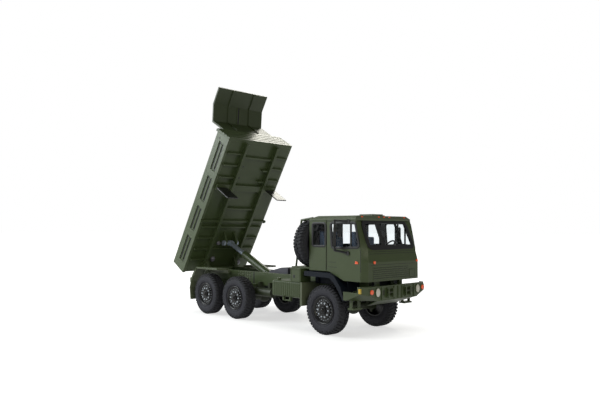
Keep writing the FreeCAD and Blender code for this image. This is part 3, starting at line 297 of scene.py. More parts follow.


# painted shade for the cab's inner faces
INSIDE_SHADE_COLOUR = linear(26, 28, 26)
OLIVE = paint("olive_paint", linear(72, 86, 52), linear(146, 156, 124), 0.37)
CAB_OLIVE = add_painted_inside_shade(paint("olive_cab_paint", linear(72, 86, 50), linear(132, 142, 110), 0.37))
# a paler copy of the olive paint, painted light on the cab's roof and hatch
LIT_ROOF_OLIVE = add_painted_inside_shade(paint("olive_roof_lit_paint", linear(98, 108, 84), linear(150, 158, 132), 0.4))
OLIVE_DARK = paint("olive_shadow_paint", linear(50, 58, 35), linear(80, 92, 62), 0.5)
FENDER_BLUE = plastic("blue_black_plastic", linear(20, 27, 38), 0.5, specular=0.2)
BLACK = plastic("black_plastic", linear(24, 25, 27), 0.45)
GASKET = plastic("black_gasket_paint", linear(30, 31, 33), 0.38, GASKET_GRAIN, 0.7)
RUBBER = plastic("tyre_rubber", linear(53, 53, 61), 0.72, RUBBER_GRAIN, 0.8)
TREAD = plastic("tread_rubber", linear(40, 41, 46), 0.75, RUBBER_GRAIN, 0.8)
RIM = plastic("rim_black", linear(20, 20, 22), 0.3)
SEAT = plastic("seat_blue_grey", linear(74, 94, 122), 0.6)
CHASSIS_BLACK = plastic("chassis_black", linear(34, 36, 38), 0.5)
NICKEL = metal("dull_metal", linear(222, 230, 240), 0.3, 0.3)
# a paler copy of the olive paint, painted light on the splash panels, rear mudguards and rail rivets
LIT_OLIVE = paint("olive_lit_paint", linear(104, 112, 88), linear(130, 138, 112), 0.42)
# a paler, greyer copy of the olive paint, a painted sheen on the body's sides
SHEEN_BED_OLIVE = paint("olive_bed_sheen_paint", linear(92, 104, 76), linear(158, 166, 146), 0.37)
# a darker copy of the olive paint, painted shade on the cab guard
SHADED_GUARD_OLIVE = paint("olive_guard_shade_paint", linear(58, 69, 40), linear(106, 116, 88), 0.42)
WORN = metal("lilac_grey_metal", linear(140, 138, 150), 0.38, 0.4)
FLAP = plastic("flap_plastic", linear(26, 26, 28), 0.34, bump=0.05, specular=0.9)
GREY = plastic("grey_plastic", linear(88, 88, 98), 0.5)
SATIN = metal("satin_metal", linear(178, 190, 206), 0.4, 0.55)
GLASS = clear_glass("clear_glazing")
# the lenses' glow is painted light: the toy's lamps are not lit
ORANGE = lens("orange_lens", linear(250, 84, 10), 0.22)
YELLOW = lens("yellow_lens", linear(214, 178, 16), 0.05)
WHITE_LENS = lens("white_lens", linear(232, 230, 218), 0.02)
RED = lens("red_lens", linear(150, 52, 42), 0.02)
FINISHED_NODES = (  # the other CAD nodes are OLIVE
    (FENDER_BLUE, "front_fenders"),
    (FLAP, "mud_flaps"),
    (SEAT, "seats"),
    (GREY, "gearbox"),
    (BLACK, "dashboard steering_wheel door_mirrors"),
    (LIT_OLIVE, "splash_panels rear_mudguards"),
    (CHASSIS_BLACK, "engine_block drive_shafts leaf_springs"),
    (SHADED_GUARD_OLIVE, "cab_guard"),
    (SHEEN_BED_OLIVE, "bed_left_wall bed_right_wall"),
    (GLASS, "cab_glass"),
    (SATIN, "hoist_rod"),
    (OLIVE_DARK, "air_tanks front_axle_housing middle_axle_housing rear_axle_housing front_knuckles"),
    (RIM, "front_axle_and_rims middle_axle_and_rims rear_axle_and_rims spare_rim"),
    (CAB_OLIVE, "cab_floor cab_front_panel cab_rear_wall cab_sides left_door right_door windshield_frame"),
    (LIT_ROOF_OLIVE, "cab_roof"))
NODE_FINISH = {node: mat for mat, names in FINISHED_NODES for node in names.split()}


# ---- making pieces, in millimetres
PIPE_SIDES = 10
CORNER_STEPS = 5
CREASE = math.radians(40.0)     # sharper edges are drawn sharp and get a soft bevel


def add_box(bm, low, high):
    low, high = Vector(low), Vector(high)
    size, centre = high - low, (low + high) / 2
    for v in bmesh.ops.create_cube(bm, size=1.0)["verts"]:
        v.co = centre + Vector(a * b for a, b in zip(v.co, size))


def add_prism(bm, outline, travel):
    """A closed outline of points, moved along travel."""
    travel = Vector(travel)
    near = [bm.verts.new(p) for p in outline]
    far = [bm.verts.new(Vector(p) + travel) for p in outline]
    bm.faces.new(near)
    bm.faces.new(far[::-1])
    for i in range(len(near)):
        j = (i + 1) % len(near)
        bm.faces.new((near[i], far[i], far[j], near[j]))


def polar(radius, angle, height):
    return Vector((radius * math.cos(angle), radius * math.sin(angle), height))


def facing(axis, point):
    """A matrix that takes +Z to axis and the origin to point."""
    turn = Vector(axis).to_track_quat("Z", "Y").to_matrix().to_4x4()
    return Matrix.Translation(point) @ turn


def add_cylinder(bm, start, end, radius, end_radius=None, sides=20):
    start, end = Vector(start), Vector(end)
    bmesh.ops.create_cone(bm, cap_ends=True, segments=sides, radius1=radius,
                          radius2=radius if end_radius is None else end_radius, depth=(end - start).length,
                          matrix=facing(end - start, (start + end) / 2))


def add_lathe(bm, profile, origin, axis, sides, stretch=(1, 1)):
    """Turns a closed profile of (distance along axis, radius) points, round or oval."""
    place = facing(axis, origin)
    rings = []
    for i in range(sides):
        angle = 2 * math.pi * i / sides
        across, up = math.cos(angle) * stretch[0], math.sin(angle) * stretch[1]
        rings.append([bm.verts.new(place @ Vector((r * across, r * up, d))) for d, r in profile])
    for i in range(sides):
        ring, following = rings[i], rings[(i + 1) % sides]
        for j in range(len(profile)):
            k = (j + 1) % len(profile)
            bm.faces.new((ring[j], ring[k], following[k], following[j]))


def add_ball(bm, centre, radius, squash=(1, 1, 1)):
    place = Matrix.Translation(centre) @ Matrix.Diagonal((*squash, 1))
    bmesh.ops.create_uvsphere(bm, u_segments=20, v_segments=12, radius=radius, matrix=place)


def add_pipe(bm, points, radius):
    """A bent tube through points, with a ball at each bend."""
    points = [Vector(p) for p in points]
    for a, b in zip(points, points[1:]):
        add_cylinder(bm, a, b, radius, sides=PIPE_SIDES)
    for p in points[1:-1]:
        add_ball(bm, p, radius)


def rounded(outline, radius):
    """A convex outline of 2-D points with its corners rounded."""
    points = []
    for i, corner in enumerate(outline):
        corner = Vector(corner)
        back = (Vector(outline[i - 1]) - corner).normalized()
        ahead = (Vector(outline[(i + 1) % len(outline)]) - corner).normalized()
        half = back.angle(ahead) / 2
        centre = corner + (back + ahead).normalized() * (radius / math.sin(half))
        start = corner + back * (radius / math.tan(half)) - centre
        end = corner + ahead * (radius / math.tan(half)) - centre
        for k in range(CORNER_STEPS + 1):
            points.append(centre + start.slerp(end, k / CORNER_STEPS).normalized() * radius)
    return points


def grown(outline, amount):
    """A convex outline, anticlockwise or clockwise, with each side moved out by amount."""
    middle = sum((Vector(p) for p in outline), Vector((0, 0))) / len(outline)
    sides = []
    for i, start in enumerate(outline):
        start, end = Vector(start), Vector(outline[(i + 1) % len(outline)])
        normal = Vector((end.y - start.y, start.x - end.x)).normalized()
        if normal.dot(start - middle) < 0:
            normal = -normal
        sides.append((normal, normal.dot(start) + amount))
    corners = []
    for (n1, d1), (n2, d2) in zip([sides[-1]] + sides[:-1], sides):
        cross = n1.x * n2.y - n1.y * n2.x
        corners.append(Vector(((d1 * n2.y - d2 * n1.y) / cross, (n1.x * d2 - n2.x * d1) / cross)))
    return corners


def add_gasket(bm, outline, inner, outer, place, lift, wobble, radius, seed):
    """A raised band round an outline of 2-D points, from inner to outer past it, with wavering edges.

    place turns (a, b, height) into a point.
    """
    inside = rounded(grown(outline, inner), radius)
    outside = rounded(grown(outline, outer), radius + outer - inner)
    middle = sum(inside, Vector((0, 0))) / len(inside)

    def ragged(point, salt):
        shift = noise.noise(Vector((point.x * 1.3, point.y * 1.3, salt + seed))) * wobble
        return point + (point - middle).normalized() * shift

    rows = []
    for a, b in zip(inside, outside):
        a, b = ragged(a, 0.0), ragged(b, 5.0)
        crown = a.lerp(b, 0.5)
        rows.append([bm.verts.new(place(p.x, p.y, h)) for p, h in
                     ((a, -0.2), (a, lift * 0.7), (crown, lift), (b, lift * 0.7), (b, -0.05))])
    for i, row in enumerate(rows):
        following = rows[(i + 1) % len(rows)]
        for j in range(len(row)):
            k = (j + 1) % len(row)
            bm.faces.new((row[j], row[k], following[k], following[j]))


def finish_piece(name, bm, mat, body, place=TRUCK, bevel=0.05):
    """Turns what was drawn into an object in metres that rides on a body."""
    bmesh.ops.recalc_face_normals(bm, faces=bm.faces)
    for face in bm.faces:
        face.smooth = True
    for edge in bm.edges:
        edge.smooth = len(edge.link_faces) == 2 and edge.calc_face_angle(0.0) < CREASE
    mesh = bpy.data.meshes.new(name)
    bm.to_mesh(mesh)
    bm.free()
    mesh.transform(Matrix.Scale(MM, 4) @ place)
    mesh.materials.append(mat)
    obj = bpy.data.objects.new(name, mesh)
    bpy.context.scene.collection.objects.link(obj)
    if bevel:
        edges = obj.modifiers.new("soft edges", "BEVEL")
        edges.width = bevel * MM
        edges.segments = 2
        edges.limit_method = "ANGLE"
        edges.angle_limit = CREASE
    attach(obj, body)
    return obj


def make_drawn(prefix, drawings):
    """One piece on the chassis for each (label, function that draws it, material)."""
    for label, draw, mat in drawings:
        bm = bmesh.new()
        draw(bm)
        finish_piece(f"{prefix}_{label}", bm, mat, "chassis")


# ---- wheels: distances along the axis are from the tyre's middle, outwards
AS_DRAWN = Matrix.Identity(4)       # the CAD boxes that place a wheel are in the frame's own axes
WHEEL_RADIUS = (mm_box("front_tyres")[1].z - mm_box("front_tyres")[0].z) / 2
TYRE_HALF = 2.7
TYRE_BEAD = 5.1
CARCASS_RADIUS = 8.78
SIDEWALL_RIDGES = (5.75, 6.6, 7.25)
TYRE_STEPS = 72
TREAD_BLOCKS = 42                   # in each of the two rows
TREAD_FILL = 0.62                   # a block's share of the space it has round the tyre
BLOCK_WIDTH = 2 * math.pi / TREAD_BLOCKS * TREAD_FILL
BLOCK_SPREAD = 1.12                 # a block's foot against its top
TREAD_SKEW = 0.08                   # how far round a block leans from the middle to the shoulder
DISC_FACE = 1.7
RIM_LIP = ((1.9, 5.15), (2.45, 5.15), (2.6, 4.95), (2.45, 4.65), (1.9, 4.4), (1.8, 4.3), (DISC_FACE, 4.3),
           (DISC_FACE, 5.0))
NUT_RING = ((DISC_FACE, 3.3), (2.2, 3.2), (2.3, 1.7), (DISC_FACE, 1.6))
HUB_START, HUB_END, HUB_RADIUS, HUB_END_RADIUS = 2.2, 2.75, 1.3, 1.1
CAP_START, CAP_RADIUS = 2.7, 0.8
WHEEL_NUTS = ((10, 2.6, 0.38, 2.6), (20, 3.75, 0.17, 2.15))     # how many, on what radius, size, outer end


def draw_carcass(bm, centre, axis):
    """A smooth tyre with ridges round its outer sidewall."""
    half = TYRE_HALF
    profile = ((-2.1, TYRE_BEAD), (-2.45, 5.5), (-half, 6.4), (-half, 7.4), (-2.45, 8.3),
               (-1.6, CARCASS_RADIUS), (1.6, CARCASS_RADIUS),
               (2.45, 8.3), (half, 7.4), (half, 6.4), (2.5, 5.5), (2.1, TYRE_BEAD))
    add_lathe(bm, profile, centre, axis, TYRE_STEPS)
    for ridge in SIDEWALL_RIDGES:
        profile = ((half - 0.4, ridge - 0.1), (half + 0.06, ridge - 0.06), (half + 0.06, ridge + 0.06),
                   (half - 0.4, ridge + 0.1))
        add_lathe(bm, profile, centre, axis, TYRE_STEPS)


def add_tread_block(bm, place, side, start, long_block):
    """A block from near the tread's middle, round the shoulder and down the sidewall."""
    inner = 0.1 if long_block else 0.6
    # distance along the axis, radius
    top = ((inner, WHEEL_RADIUS), (1.9, WHEEL_RADIUS - 0.02), (2.4, 8.75),
           (TYRE_HALF + 0.04, 7.7 if long_block else 8.15))
    foot = ((inner, 8.4), (1.9, 8.4), (2.3, 8.1), (2.5, 7.5 if long_block else 8.0))
    rows = []
    for edge in (-BLOCK_WIDTH / 2, BLOCK_WIDTH / 2):
        for line, spread in ((top, 1.0), (foot, BLOCK_SPREAD)):
            row = []
            for d, r in line:
                angle = start + edge * spread + TREAD_SKEW * d / TYRE_HALF
                row.append(bm.verts.new(place @ polar(r, angle, d * side)))
            rows.append(row)
    top_a, foot_a, top_b, foot_b = rows
    for j in range(len(top) - 1):
        bm.faces.new((top_a[j], top_a[j + 1], top_b[j + 1], top_b[j]))
        bm.faces.new((top_a[j], foot_a[j], foot_a[j + 1], top_a[j + 1]))
        bm.faces.new((top_b[j], top_b[j + 1], foot_b[j + 1], foot_b[j]))
        bm.faces.new((foot_a[j], foot_b[j], foot_b[j + 1], foot_a[j + 1]))
    bm.faces.new((top_a[0], top_b[0], foot_b[0], foot_a[0]))
    bm.faces.new((top_a[-1], foot_a[-1], foot_b[-1], top_b[-1]))


def draw_tread(bm, centre, axis):
    """Two staggered rows of blocks, long and short in turn."""
    place = facing(axis, centre)
    for side, stagger in ((-1, 0), (1, 0.5)):
        for i in range(TREAD_BLOCKS):
            start = 2 * math.pi * (i + stagger) / TREAD_BLOCKS
            add_tread_block(bm, place, side, start, i % 2 == 0)


def make_tyre(name, node, body, centre, axis):
    for part, draw, mat in (("carcass", draw_carcass, RUBBER), ("tread", draw_tread, TREAD)):
        bm = bmesh.new()
        draw(bm, centre, axis)
        piece = finish_piece(f"{name}_{part}", bm, mat, body, AS_DRAWN)
        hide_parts(node)


def make_rim_details(name, body, centre, axis):
    """A black lip and hub with its cap, and two rings of bright nuts."""
    place = facing(axis, centre)
    bm = bmesh.new()
    add_lathe(bm, RIM_LIP, centre, axis, sides=56)
    add_lathe(bm, NUT_RING, centre, axis, sides=40)
    add_cylinder(bm, place @ Vector((0, 0, HUB_START)), place @ Vector((0, 0, HUB_END)),
                 HUB_RADIUS, HUB_END_RADIUS, sides=24)
    add_ball(bm, place @ Vector((0, 0, CAP_START)), CAP_RADIUS)
    finish_piece(f"{name}_rim_rings", bm, RIM, body, AS_DRAWN, bevel=0.04)
    bm = bmesh.new()
    for count, radius, size, end in WHEEL_NUTS:
        for i in range(count):
            angle = 2 * math.pi * i / count
            add_cylinder(bm, place @ polar(radius, angle, DISC_FACE), place @ polar(radius, angle, end),
                         size, size * 0.8, sides=6)
    finish_piece(f"{name}_wheel_nuts", bm, NICKEL, body, AS_DRAWN, bevel=0.03)


def make_wheels():
    for name in ("front", "middle", "rear"):
        low, high = mm_box(f"{name}_tyres")
        centre = (low + high) / 2
        for side_name, side in SIDES.items():
            spot = Vector((centre.x, side * (high.y - TYRE_HALF), centre.z))
            make_tyre(f"{name}_{side_name}_tyre", f"{name}_tyres", f"{name}_wheels", spot, (0, side, 0))
            make_rim_details(f"{name}_{side_name}", f"{name}_wheels", spot, (0, side, 0))
    spot = mid_box("spare_tyre")
    make_tyre("spare_wheel_tyre", "spare_tyre", "chassis", spot, (-1, 0, 0))
    make_rim_details("spare", "chassis", spot, (-1, 0, 0))


# ---- cab: outlines and lines are (x, z) on its side and (y, z) on its front
CAB_SIDE = 16.3
BELT_X, BELT_Z = 19.1, 32.1
SCREEN_LEAN = 0.408                             # back per mm up
NOSE_X, NOSE_Z = 19.9, 27.5
NOSE_LEAN = (NOSE_X - BELT_X) / (BELT_Z - NOSE_Z)
ROOF_TOP = 44.2
QUARTER_WINDOW = ((-6.1, 33.0), (0.4, 33.0), (0.4, 41.3), (-6.1, 41.3))
DOOR_WINDOW = ((3.9, 32.5), (16.9, 32.9), (15.0, 41.4), (3.2, 41.4))
DOOR_BAR = ((12.95, 32.9), (12.95, 41.3))       # between the door's two panes
DOOR_LINES = (((1.2, 24.2), (1.2, 42.1)), ((1.2, 42.1), (15.2, 42.1)), ((17.35, 31.5), (15.2, 42.1)),
              ((17.5, 24.0), (17.5, 31.5)), ((1.9, 25.3), (6.3, 25.3)), ((2.1, 27.1), (5.7, 27.1)))
DOOR_BEADS = (((0.75, 24.2), (0.75, 42.3)), ((-7.9, 42.6), (15.2, 42.6)))
SIDE_REFLECTOR = ((15.1, 26.9), (16.5, 26.9), (16.3, 27.7), (15.3, 27.9))
WINDSCREEN = ((-12.9, 33.0), (12.9, 33.0), (12.2, 41.7), (-12.2, 41.7))
SCREEN_BARS, SCREEN_BAR_Z = ((-4.4, 1.9), (6.6, 0.9)), (33.2, 41.6)     # y and width of each
SEAMS = ((31.2, 13.9), (30.45, 13.6))           # height, half the length
PANEL_TOP = ((-13.2, 26.5), (13.2, 26.5))
LOUVRES, LOUVRE_PITCH, LOUVRE_Y = 6, 0.75, (-12.2, 8.6)
LOUVRE_GAP_Z, LOUVRE_Z = 25.5, 25.15            # of the top one
FLAP_Y, FLAP_Z = (9.0, 12.5), (21.4, 24.4)
FLAP_EDGE, FLAP_FACE = 0.35, 2.6                # the border at its ends, and the raised face's height
LINE_LIFT = 0.03
FRONT_REFLECTORS = ((-11.5, 27.4, 0.55), (14.1, 27.4, 0.5))             # y, z, radius
ROOF_LAMP_X, ROOF_LAMP_Z = (14.6, 15.25), (43.45, 43.95)
ROOF_LAMPS_Y, ROOF_LAMP_HALF = (-12.6, -3.0, 0.1, 3.4, 12.7), 0.45
WIPER_ARM = ((4.0, 33.0), (5.6, 33.6), (9.6, 33.3))
WIPER_BLADE = ((5.7, 33.6), (7.7, 39.2), (8.3, 40.1))
HATCH_FRAME, HATCH_LID = (5.0, 12.3, -3.2, 4.2), (5.5, 11.8, -2.7, 3.7)   # x, then y
SEAT_X, SEAT_Z = (-3.6, 0.4), (29.0, 36.1)
SEAT_Y, SEAT_HALF = 9.3, 3.3


def side_point(side):
    """Turns (x, z, height) on the cab's side into a point."""
    return lambda x, z, lift: Vector((x, side * (CAB_SIDE + lift), z))


def front_lean(z):
    """x of the cab's front at height z: it leans back above the nose, and more above the belt."""
    if z > BELT_Z:
        return BELT_X - (z - BELT_Z) * SCREEN_LEAN
    return BELT_X + (BELT_Z - z) * NOSE_LEAN if z > NOSE_Z else NOSE_X


def front_point(y, z, lift):
    """Turns (y, z, height) on the cab's front into a point."""
    normal = Vector((1, 0, SCREEN_LEAN)).normalized() if z > BELT_Z else Vector((1, 0, 0))
    return Vector((front_lean(z), y, z)) + normal * lift


def add_bar(bm, place, start, end, width, lift, sink=0.15):
    """A raised straight bar between two points (a, b) of a surface."""
    start, end = Vector(start), Vector(end)
    across = Vector((start.y - end.y, end.x - start.x)).normalized() * width / 2
    corners = (start - across, end - across, end + across, start + across)
    low = [bm.verts.new(place(p.x, p.y, -sink)) for p in corners]
    high = [bm.verts.new(place(p.x, p.y, lift)) for p in corners]
    bm.faces.new(high)
    bm.faces.new(low[::-1])
    for i in range(4):
        j = (i + 1) % 4
        bm.faces.new((low[i], low[j], high[j], high[i]))


def make_cab_sides():
    """Window gaskets, the door's gaps and beads, and a reflector."""
    for name, side in SIDES.items():
        place = side_point(side)
        bm = bmesh.new()
        add_gasket(bm, QUARTER_WINDOW, -0.25, 0.55, place, lift=0.28, wobble=0.10, radius=0.5, seed=3)
        add_gasket(bm, DOOR_WINDOW, -0.25, 0.60, place, lift=0.28, wobble=0.12, radius=0.7, seed=8)
        add_bar(bm, place, *DOOR_BAR, width=0.5, lift=0.15, sink=0.5)
        finish_piece(f"{name}_window_gaskets", bm, GASKET, "chassis")
        bm = bmesh.new()
        for start, end in DOOR_LINES:
            add_bar(bm, place, start, end, width=0.13, lift=0.02)
        finish_piece(f"{name}_door_gaps", bm, BLACK, "chassis", bevel=0)
        bm = bmesh.new()
        for start, end in DOOR_BEADS:
            add_bar(bm, place, start, end, width=0.28, lift=0.16)
        finish_piece(f"{name}_door_trim", bm, OLIVE, "chassis")
        bm = bmesh.new()
        add_prism(bm, [place(x, z, 0.3) for x, z in SIDE_REFLECTOR], (0, -side * 0.4, 0))
        finish_piece(f"{name}_side_reflector", bm, ORANGE, "chassis")


def make_windscreen_gasket():
    bm = bmesh.new()
    low, high = SCREEN_BAR_Z
    add_gasket(bm, WINDSCREEN, -0.45, 1.15, front_point, lift=0.45, wobble=0.35, radius=0.8, seed=1)
    for y, width in SCREEN_BARS:
        add_bar(bm, front_point, (y, low), (y, high), width, lift=0.12, sink=0.5)
    finish_piece("windscreen_gasket", bm, GASKET, "chassis")


def make_front_panel():
    """Dark seams and gaps, then the raised louvres and flap between them."""
    (left, right), (low, high) = FLAP_Y, FLAP_Z
    flap = (((left, high), (right, high)), ((left, low), (right, low)),
            ((left, low), (left, high)), ((right, low), (right, high)))
    bm = bmesh.new()
    for z, half in SEAMS:
        add_bar(bm, front_point, (-half, z), (half, z), width=0.12, lift=LINE_LIFT)
    for i in range(LOUVRES):
        z = LOUVRE_GAP_Z - LOUVRE_PITCH * i
        add_bar(bm, front_point, (LOUVRE_Y[0], z), (LOUVRE_Y[1], z), width=0.13, lift=LINE_LIFT)
    for start, end in (*flap, PANEL_TOP):
        add_bar(bm, front_point, start, end, width=0.12, lift=LINE_LIFT)
    finish_piece("front_panel_lines", bm, BLACK, "chassis", bevel=0)
    bm = bmesh.new()
    for i in range(LOUVRES):
        z = LOUVRE_Z - LOUVRE_PITCH * i
        add_bar(bm, front_point, (LOUVRE_Y[0], z), (LOUVRE_Y[1], z), width=0.4, lift=0.12)
    middle = (low + high) / 2
    add_bar(bm, front_point, (left + FLAP_EDGE, middle), (right - FLAP_EDGE, middle), FLAP_FACE, lift=0.14)
    finish_piece("front_louvres", bm, OLIVE, "chassis")


def make_cab_lamps():
    bm = bmesh.new()
    (rear, front), (low, high) = ROOF_LAMP_X, ROOF_LAMP_Z
    for y, z, radius in FRONT_REFLECTORS:
        spot = front_point(y, z, 0)
        add_cylinder(bm, spot - Vector((0.2, 0, 0)), spot + Vector((0.3, 0, 0)), radius)
    for y in ROOF_LAMPS_Y:
        add_box(bm, (rear, y - ROOF_LAMP_HALF, low), (front, y + ROOF_LAMP_HALF, high))
    finish_piece("front_reflectors_and_roof_lamps", bm, ORANGE, "chassis")


def make_wiper():
    bm = bmesh.new()
    add_pipe(bm, [front_point(y, z, 0.35) for y, z in WIPER_ARM], 0.17)
    add_pipe(bm, [front_point(y, z, 0.4) for y, z in WIPER_BLADE], 0.13)
    finish_piece("wiper", bm, BLACK, "chassis", bevel=0)


def make_roof_hatch():
    bm = bmesh.new()
    for (x0, x1, y0, y1), low, high in ((HATCH_FRAME, -0.2, 0.35), (HATCH_LID, 0.3, 0.75)):
        add_box(bm, (x0, y0, ROOF_TOP + low), (x1, y1, ROOF_TOP + high))
    finish_piece("roof_hatch", bm, LIT_ROOF_OLIVE, "chassis", bevel=0.08)


def make_seat_pads():
    bm = bmesh.new()
    for side in SIDES.values():
        add_box(bm, (SEAT_X[0], side * SEAT_Y - SEAT_HALF, SEAT_Z[0]),
                (SEAT_X[1], side * SEAT_Y + SEAT_HALF, SEAT_Z[1]))
    finish_piece("seat_pads", bm, SEAT, "chassis", bevel=0.5)


# ---- bumper
BUMPER_FACE = mm_box("front_bumper")[1].x - AXLE_X
HEADLAMP_Y, HEADLAMP_Z = 11.9, 17.0
OVAL = (0.82, 1.12)             # the headlamps' width and height, as shares of a circle's
INDICATOR_Y, INDICATOR_Z, INDICATOR_OUT = 15.2, 17.3, 0.4
INDICATOR_RADII = (0.88, 0.8)
BEZEL_HALF, BEZEL_Z = 1.0, (16.2, 18.4)
MARKER_X, MARKER_Y, MARKER_HALF, MARKER_Z = (18.7, 19.7), 18.6, 0.3, (16.8, 18.5)
HOOK_Y, HOOK_HALF, HOOK_Z = 5.2, 1.7, (14.9, 17.9)      # the plates above and below a tow hook
HOOK_PLATE = 0.6
HOOK_SIDES_Y, HOOK_SIDE_HALF, HOOK_SIDE_Z = (3.8, 6.6), 0.25, (14.9, 18.2)
HOOK_BAR_Y, HOOK_BAR_Z, HOOK_BAR_OUT = (3.4, 7.0), 16.8, 0.6
INSET_HALF, INSET_Z = 1.2, (15.5, 17.9)
SLOT_Y, SLOT_HALF, SLOT_Z = 8.6, 0.8, (15.8, 17.6)
TOP_EDGE_HALF, TOP_EDGE_Z = 15.7, (18.75, 19.15)
BUMPER_BEADS_Y, BUMPER_BEAD_HALF, BUMPER_BEAD_Z = (-9.6, -2.4, 0.0, 2.4, 9.6), 0.2, (14.3, 18.9)


def add_front_box(bm, y, half, low, high, proud, depth=0.2):
    """A box on the bumper's face, from low to high, that stands proud of it."""
    add_box(bm, (BUMPER_FACE - depth, y - half, low), (BUMPER_FACE + proud, y + half, high))


def add_oval(bm, side, radius, start, end):
    """A low oval dome on a headlamp's axis."""
    profile = ((start, 0.05), (start, radius), (end, radius * 0.94), (end + 0.12, radius * 0.7),
               (end + 0.16, 0.05))
    add_lathe(bm, profile, (BUMPER_FACE, side * HEADLAMP_Y, HEADLAMP_Z), (1, 0, 0), 32, OVAL)


def draw_headlamps(bm):
    for side in SIDES.values():
        add_oval(bm, side, radius=1.4, start=0.1, end=0.4)


def draw_indicators(bm):
    for side in SIDES.values():
        y = side * INDICATOR_Y
        add_cylinder(bm, (BUMPER_FACE, y, INDICATOR_Z), (BUMPER_FACE + INDICATOR_OUT, y, INDICATOR_Z),
                     *INDICATOR_RADII, sides=28)


def draw_lamp_bezels(bm):
    for side in SIDES.values():
        add_oval(bm, side, radius=1.65, start=-0.2, end=0.25)
        add_front_box(bm, side * INDICATOR_Y, BEZEL_HALF, *BEZEL_Z, proud=0.12, depth=0.3)


def draw_bumper_recesses(bm):
    """Dark insets behind the tow brackets, with a bar across each, and a slot beside them."""
    near, far = HOOK_BAR_Y
    x = BUMPER_FACE + HOOK_BAR_OUT
    for side in SIDES.values():
        add_front_box(bm, side * HOOK_Y, INSET_HALF, *INSET_Z, proud=0.06)
        add_cylinder(bm, (x, side * near, HOOK_BAR_Z), (x, side * far, HOOK_BAR_Z), 0.35)
        add_front_box(bm, side * SLOT_Y, SLOT_HALF, *SLOT_Z, proud=0.05)


def draw_tow_brackets(bm):
    """The brackets, then the bumper's top edge and the beads up its face."""
    for side in SIDES.values():
        for z in HOOK_Z:
            add_front_box(bm, side * HOOK_Y, HOOK_HALF, z, z + HOOK_PLATE, proud=0.35)
        for y in HOOK_SIDES_Y:
            add_front_box(bm, side * y, HOOK_SIDE_HALF, *HOOK_SIDE_Z, proud=1.0)
    add_front_box(bm, 0.0, TOP_EDGE_HALF, *TOP_EDGE_Z, proud=0.18, depth=0.3)
    for y in BUMPER_BEADS_Y:
        add_front_box(bm, y, BUMPER_BEAD_HALF, *BUMPER_BEAD_Z, proud=0.3)


def draw_side_markers(bm):
    for side in SIDES.values():
        add_box(bm, (MARKER_X[0], side * MARKER_Y - MARKER_HALF, MARKER_Z[0]),
                (MARKER_X[1], side * MARKER_Y + MARKER_HALF, MARKER_Z[1]))


BUMPER_PIECES = (
    ("headlamps", draw_headlamps, WHITE_LENS), ("indicators", draw_indicators, ORANGE),
    ("lamp_bezels", draw_lamp_bezels, OLIVE), ("recesses", draw_bumper_recesses, OLIVE_DARK),
    ("tow_brackets", draw_tow_brackets, OLIVE), ("side_markers", draw_side_markers, YELLOW))


# ---- body, along the axes of BED
UNDER = min((BED.inverted() @ (v.co / MM)).z for v in frame["nodes"]["bed_floor"].data.vertices)
BED_SIDE = 18.91
RECESSES = ((0.5, 13.9), (17.5, 29.9), (33.0, 45.6), (48.8, 62.8))
RIB_Z, RIB_DEPTH, RIB_INSET = (7.5, 8.65), (0.5, 0.12), (0.7, 0.9)      # in a recess, from BED_SIDE inwards
# black strips that paint the shade beside each rib
SHADE_STRIPS_Z, SHADE_STRIP_DEPTH, SHADE_STRIP_INSET = ((6.35, 7.3), (8.85, 9.8)), (0.46, 0.42), 0.35
SIDE_SPOT = (63.9, 10.7)
FLOOR_SPOTS = ((53.8, -5.8), (47.9, -5.9))
GUARD_FOOT, GUARD_BEND = Vector((66.67, 0, 25.05)), Vector((73.87, 0, 28.65))
STRIP_START, STRIP_SINK = 0.02, 0.2
PEG_X, PEG_Y, PEG_Z, PEG_RADII = 25.0, (18.7, 19.65), 3.45, (0.85, 0.7)
LUGS_X, LUGS_Y, LUG_HALF = (53.0, 47.2), ((5.2, 8.55), (-8.55, -7.7)), 0.35
FRAME_X, FRAME_Y, FRAME_HALF, FRAME_END_Y = (14.4, 16.3), (11.0, 16.8), 0.15, 17.0
BOSSES = ((3.4, -4.4, 3.3, 1.35), (12.5, -4.3, 3.4, 1.1), (14.5, 5.5, 3.4, 0.9), (0.8, 12.1, 3.3, 1.5))
HOIST_EYE = Vector((14.5, 0, 0.45))
HOIST_PIN_Y, HOIST_PIN_RADII = (3.35, 4.3), (1.3, 1.2)


def add_recess_strip(bm, side, recess, inset, depth, z):
    """A strip along a recess of the body's side, short of its ends."""
    back, front = side * (BED_SIDE - depth[0]), side * (BED_SIDE - depth[1])
    add_box(bm, (recess[0] + inset[0], back, z[0]), (recess[1] - inset[1], front, z[1]))


def make_recess_ribs():
    """A rib in each recess of the body's sides, with a black strip below and above it as painted shade."""
    ribs, shade_strips = bmesh.new(), bmesh.new()
    for side in SIDES.values():
        for recess in RECESSES:
            for z in SHADE_STRIPS_Z:
                add_recess_strip(shade_strips, side, recess, (SHADE_STRIP_INSET, SHADE_STRIP_INSET), SHADE_STRIP_DEPTH, z)
            add_recess_strip(ribs, side, recess, RIB_INSET, RIB_DEPTH, RIB_Z)
    finish_piece("bed_recess_ribs", ribs, OLIVE, "bed", BED)
    finish_piece("bed_recess_painted_shade", shade_strips, BLACK, "bed", BED, bevel=0)


def add_guard_strip(bm, share, lift, y, width):
    """A strip up the cab guard's slope, to a share of its length."""
    along = GUARD_BEND - GUARD_FOOT
    out = Vector((along.z, 0, -along.x)).normalized()
    start, end = GUARD_FOOT + along * STRIP_START, GUARD_FOOT + along * share
    outline = (start - out * STRIP_SINK, end - out * STRIP_SINK, end + out * lift, start + out * lift)
    add_prism(bm, [p + Vector((0, y, 0)) for p in outline], (0, width, 0))


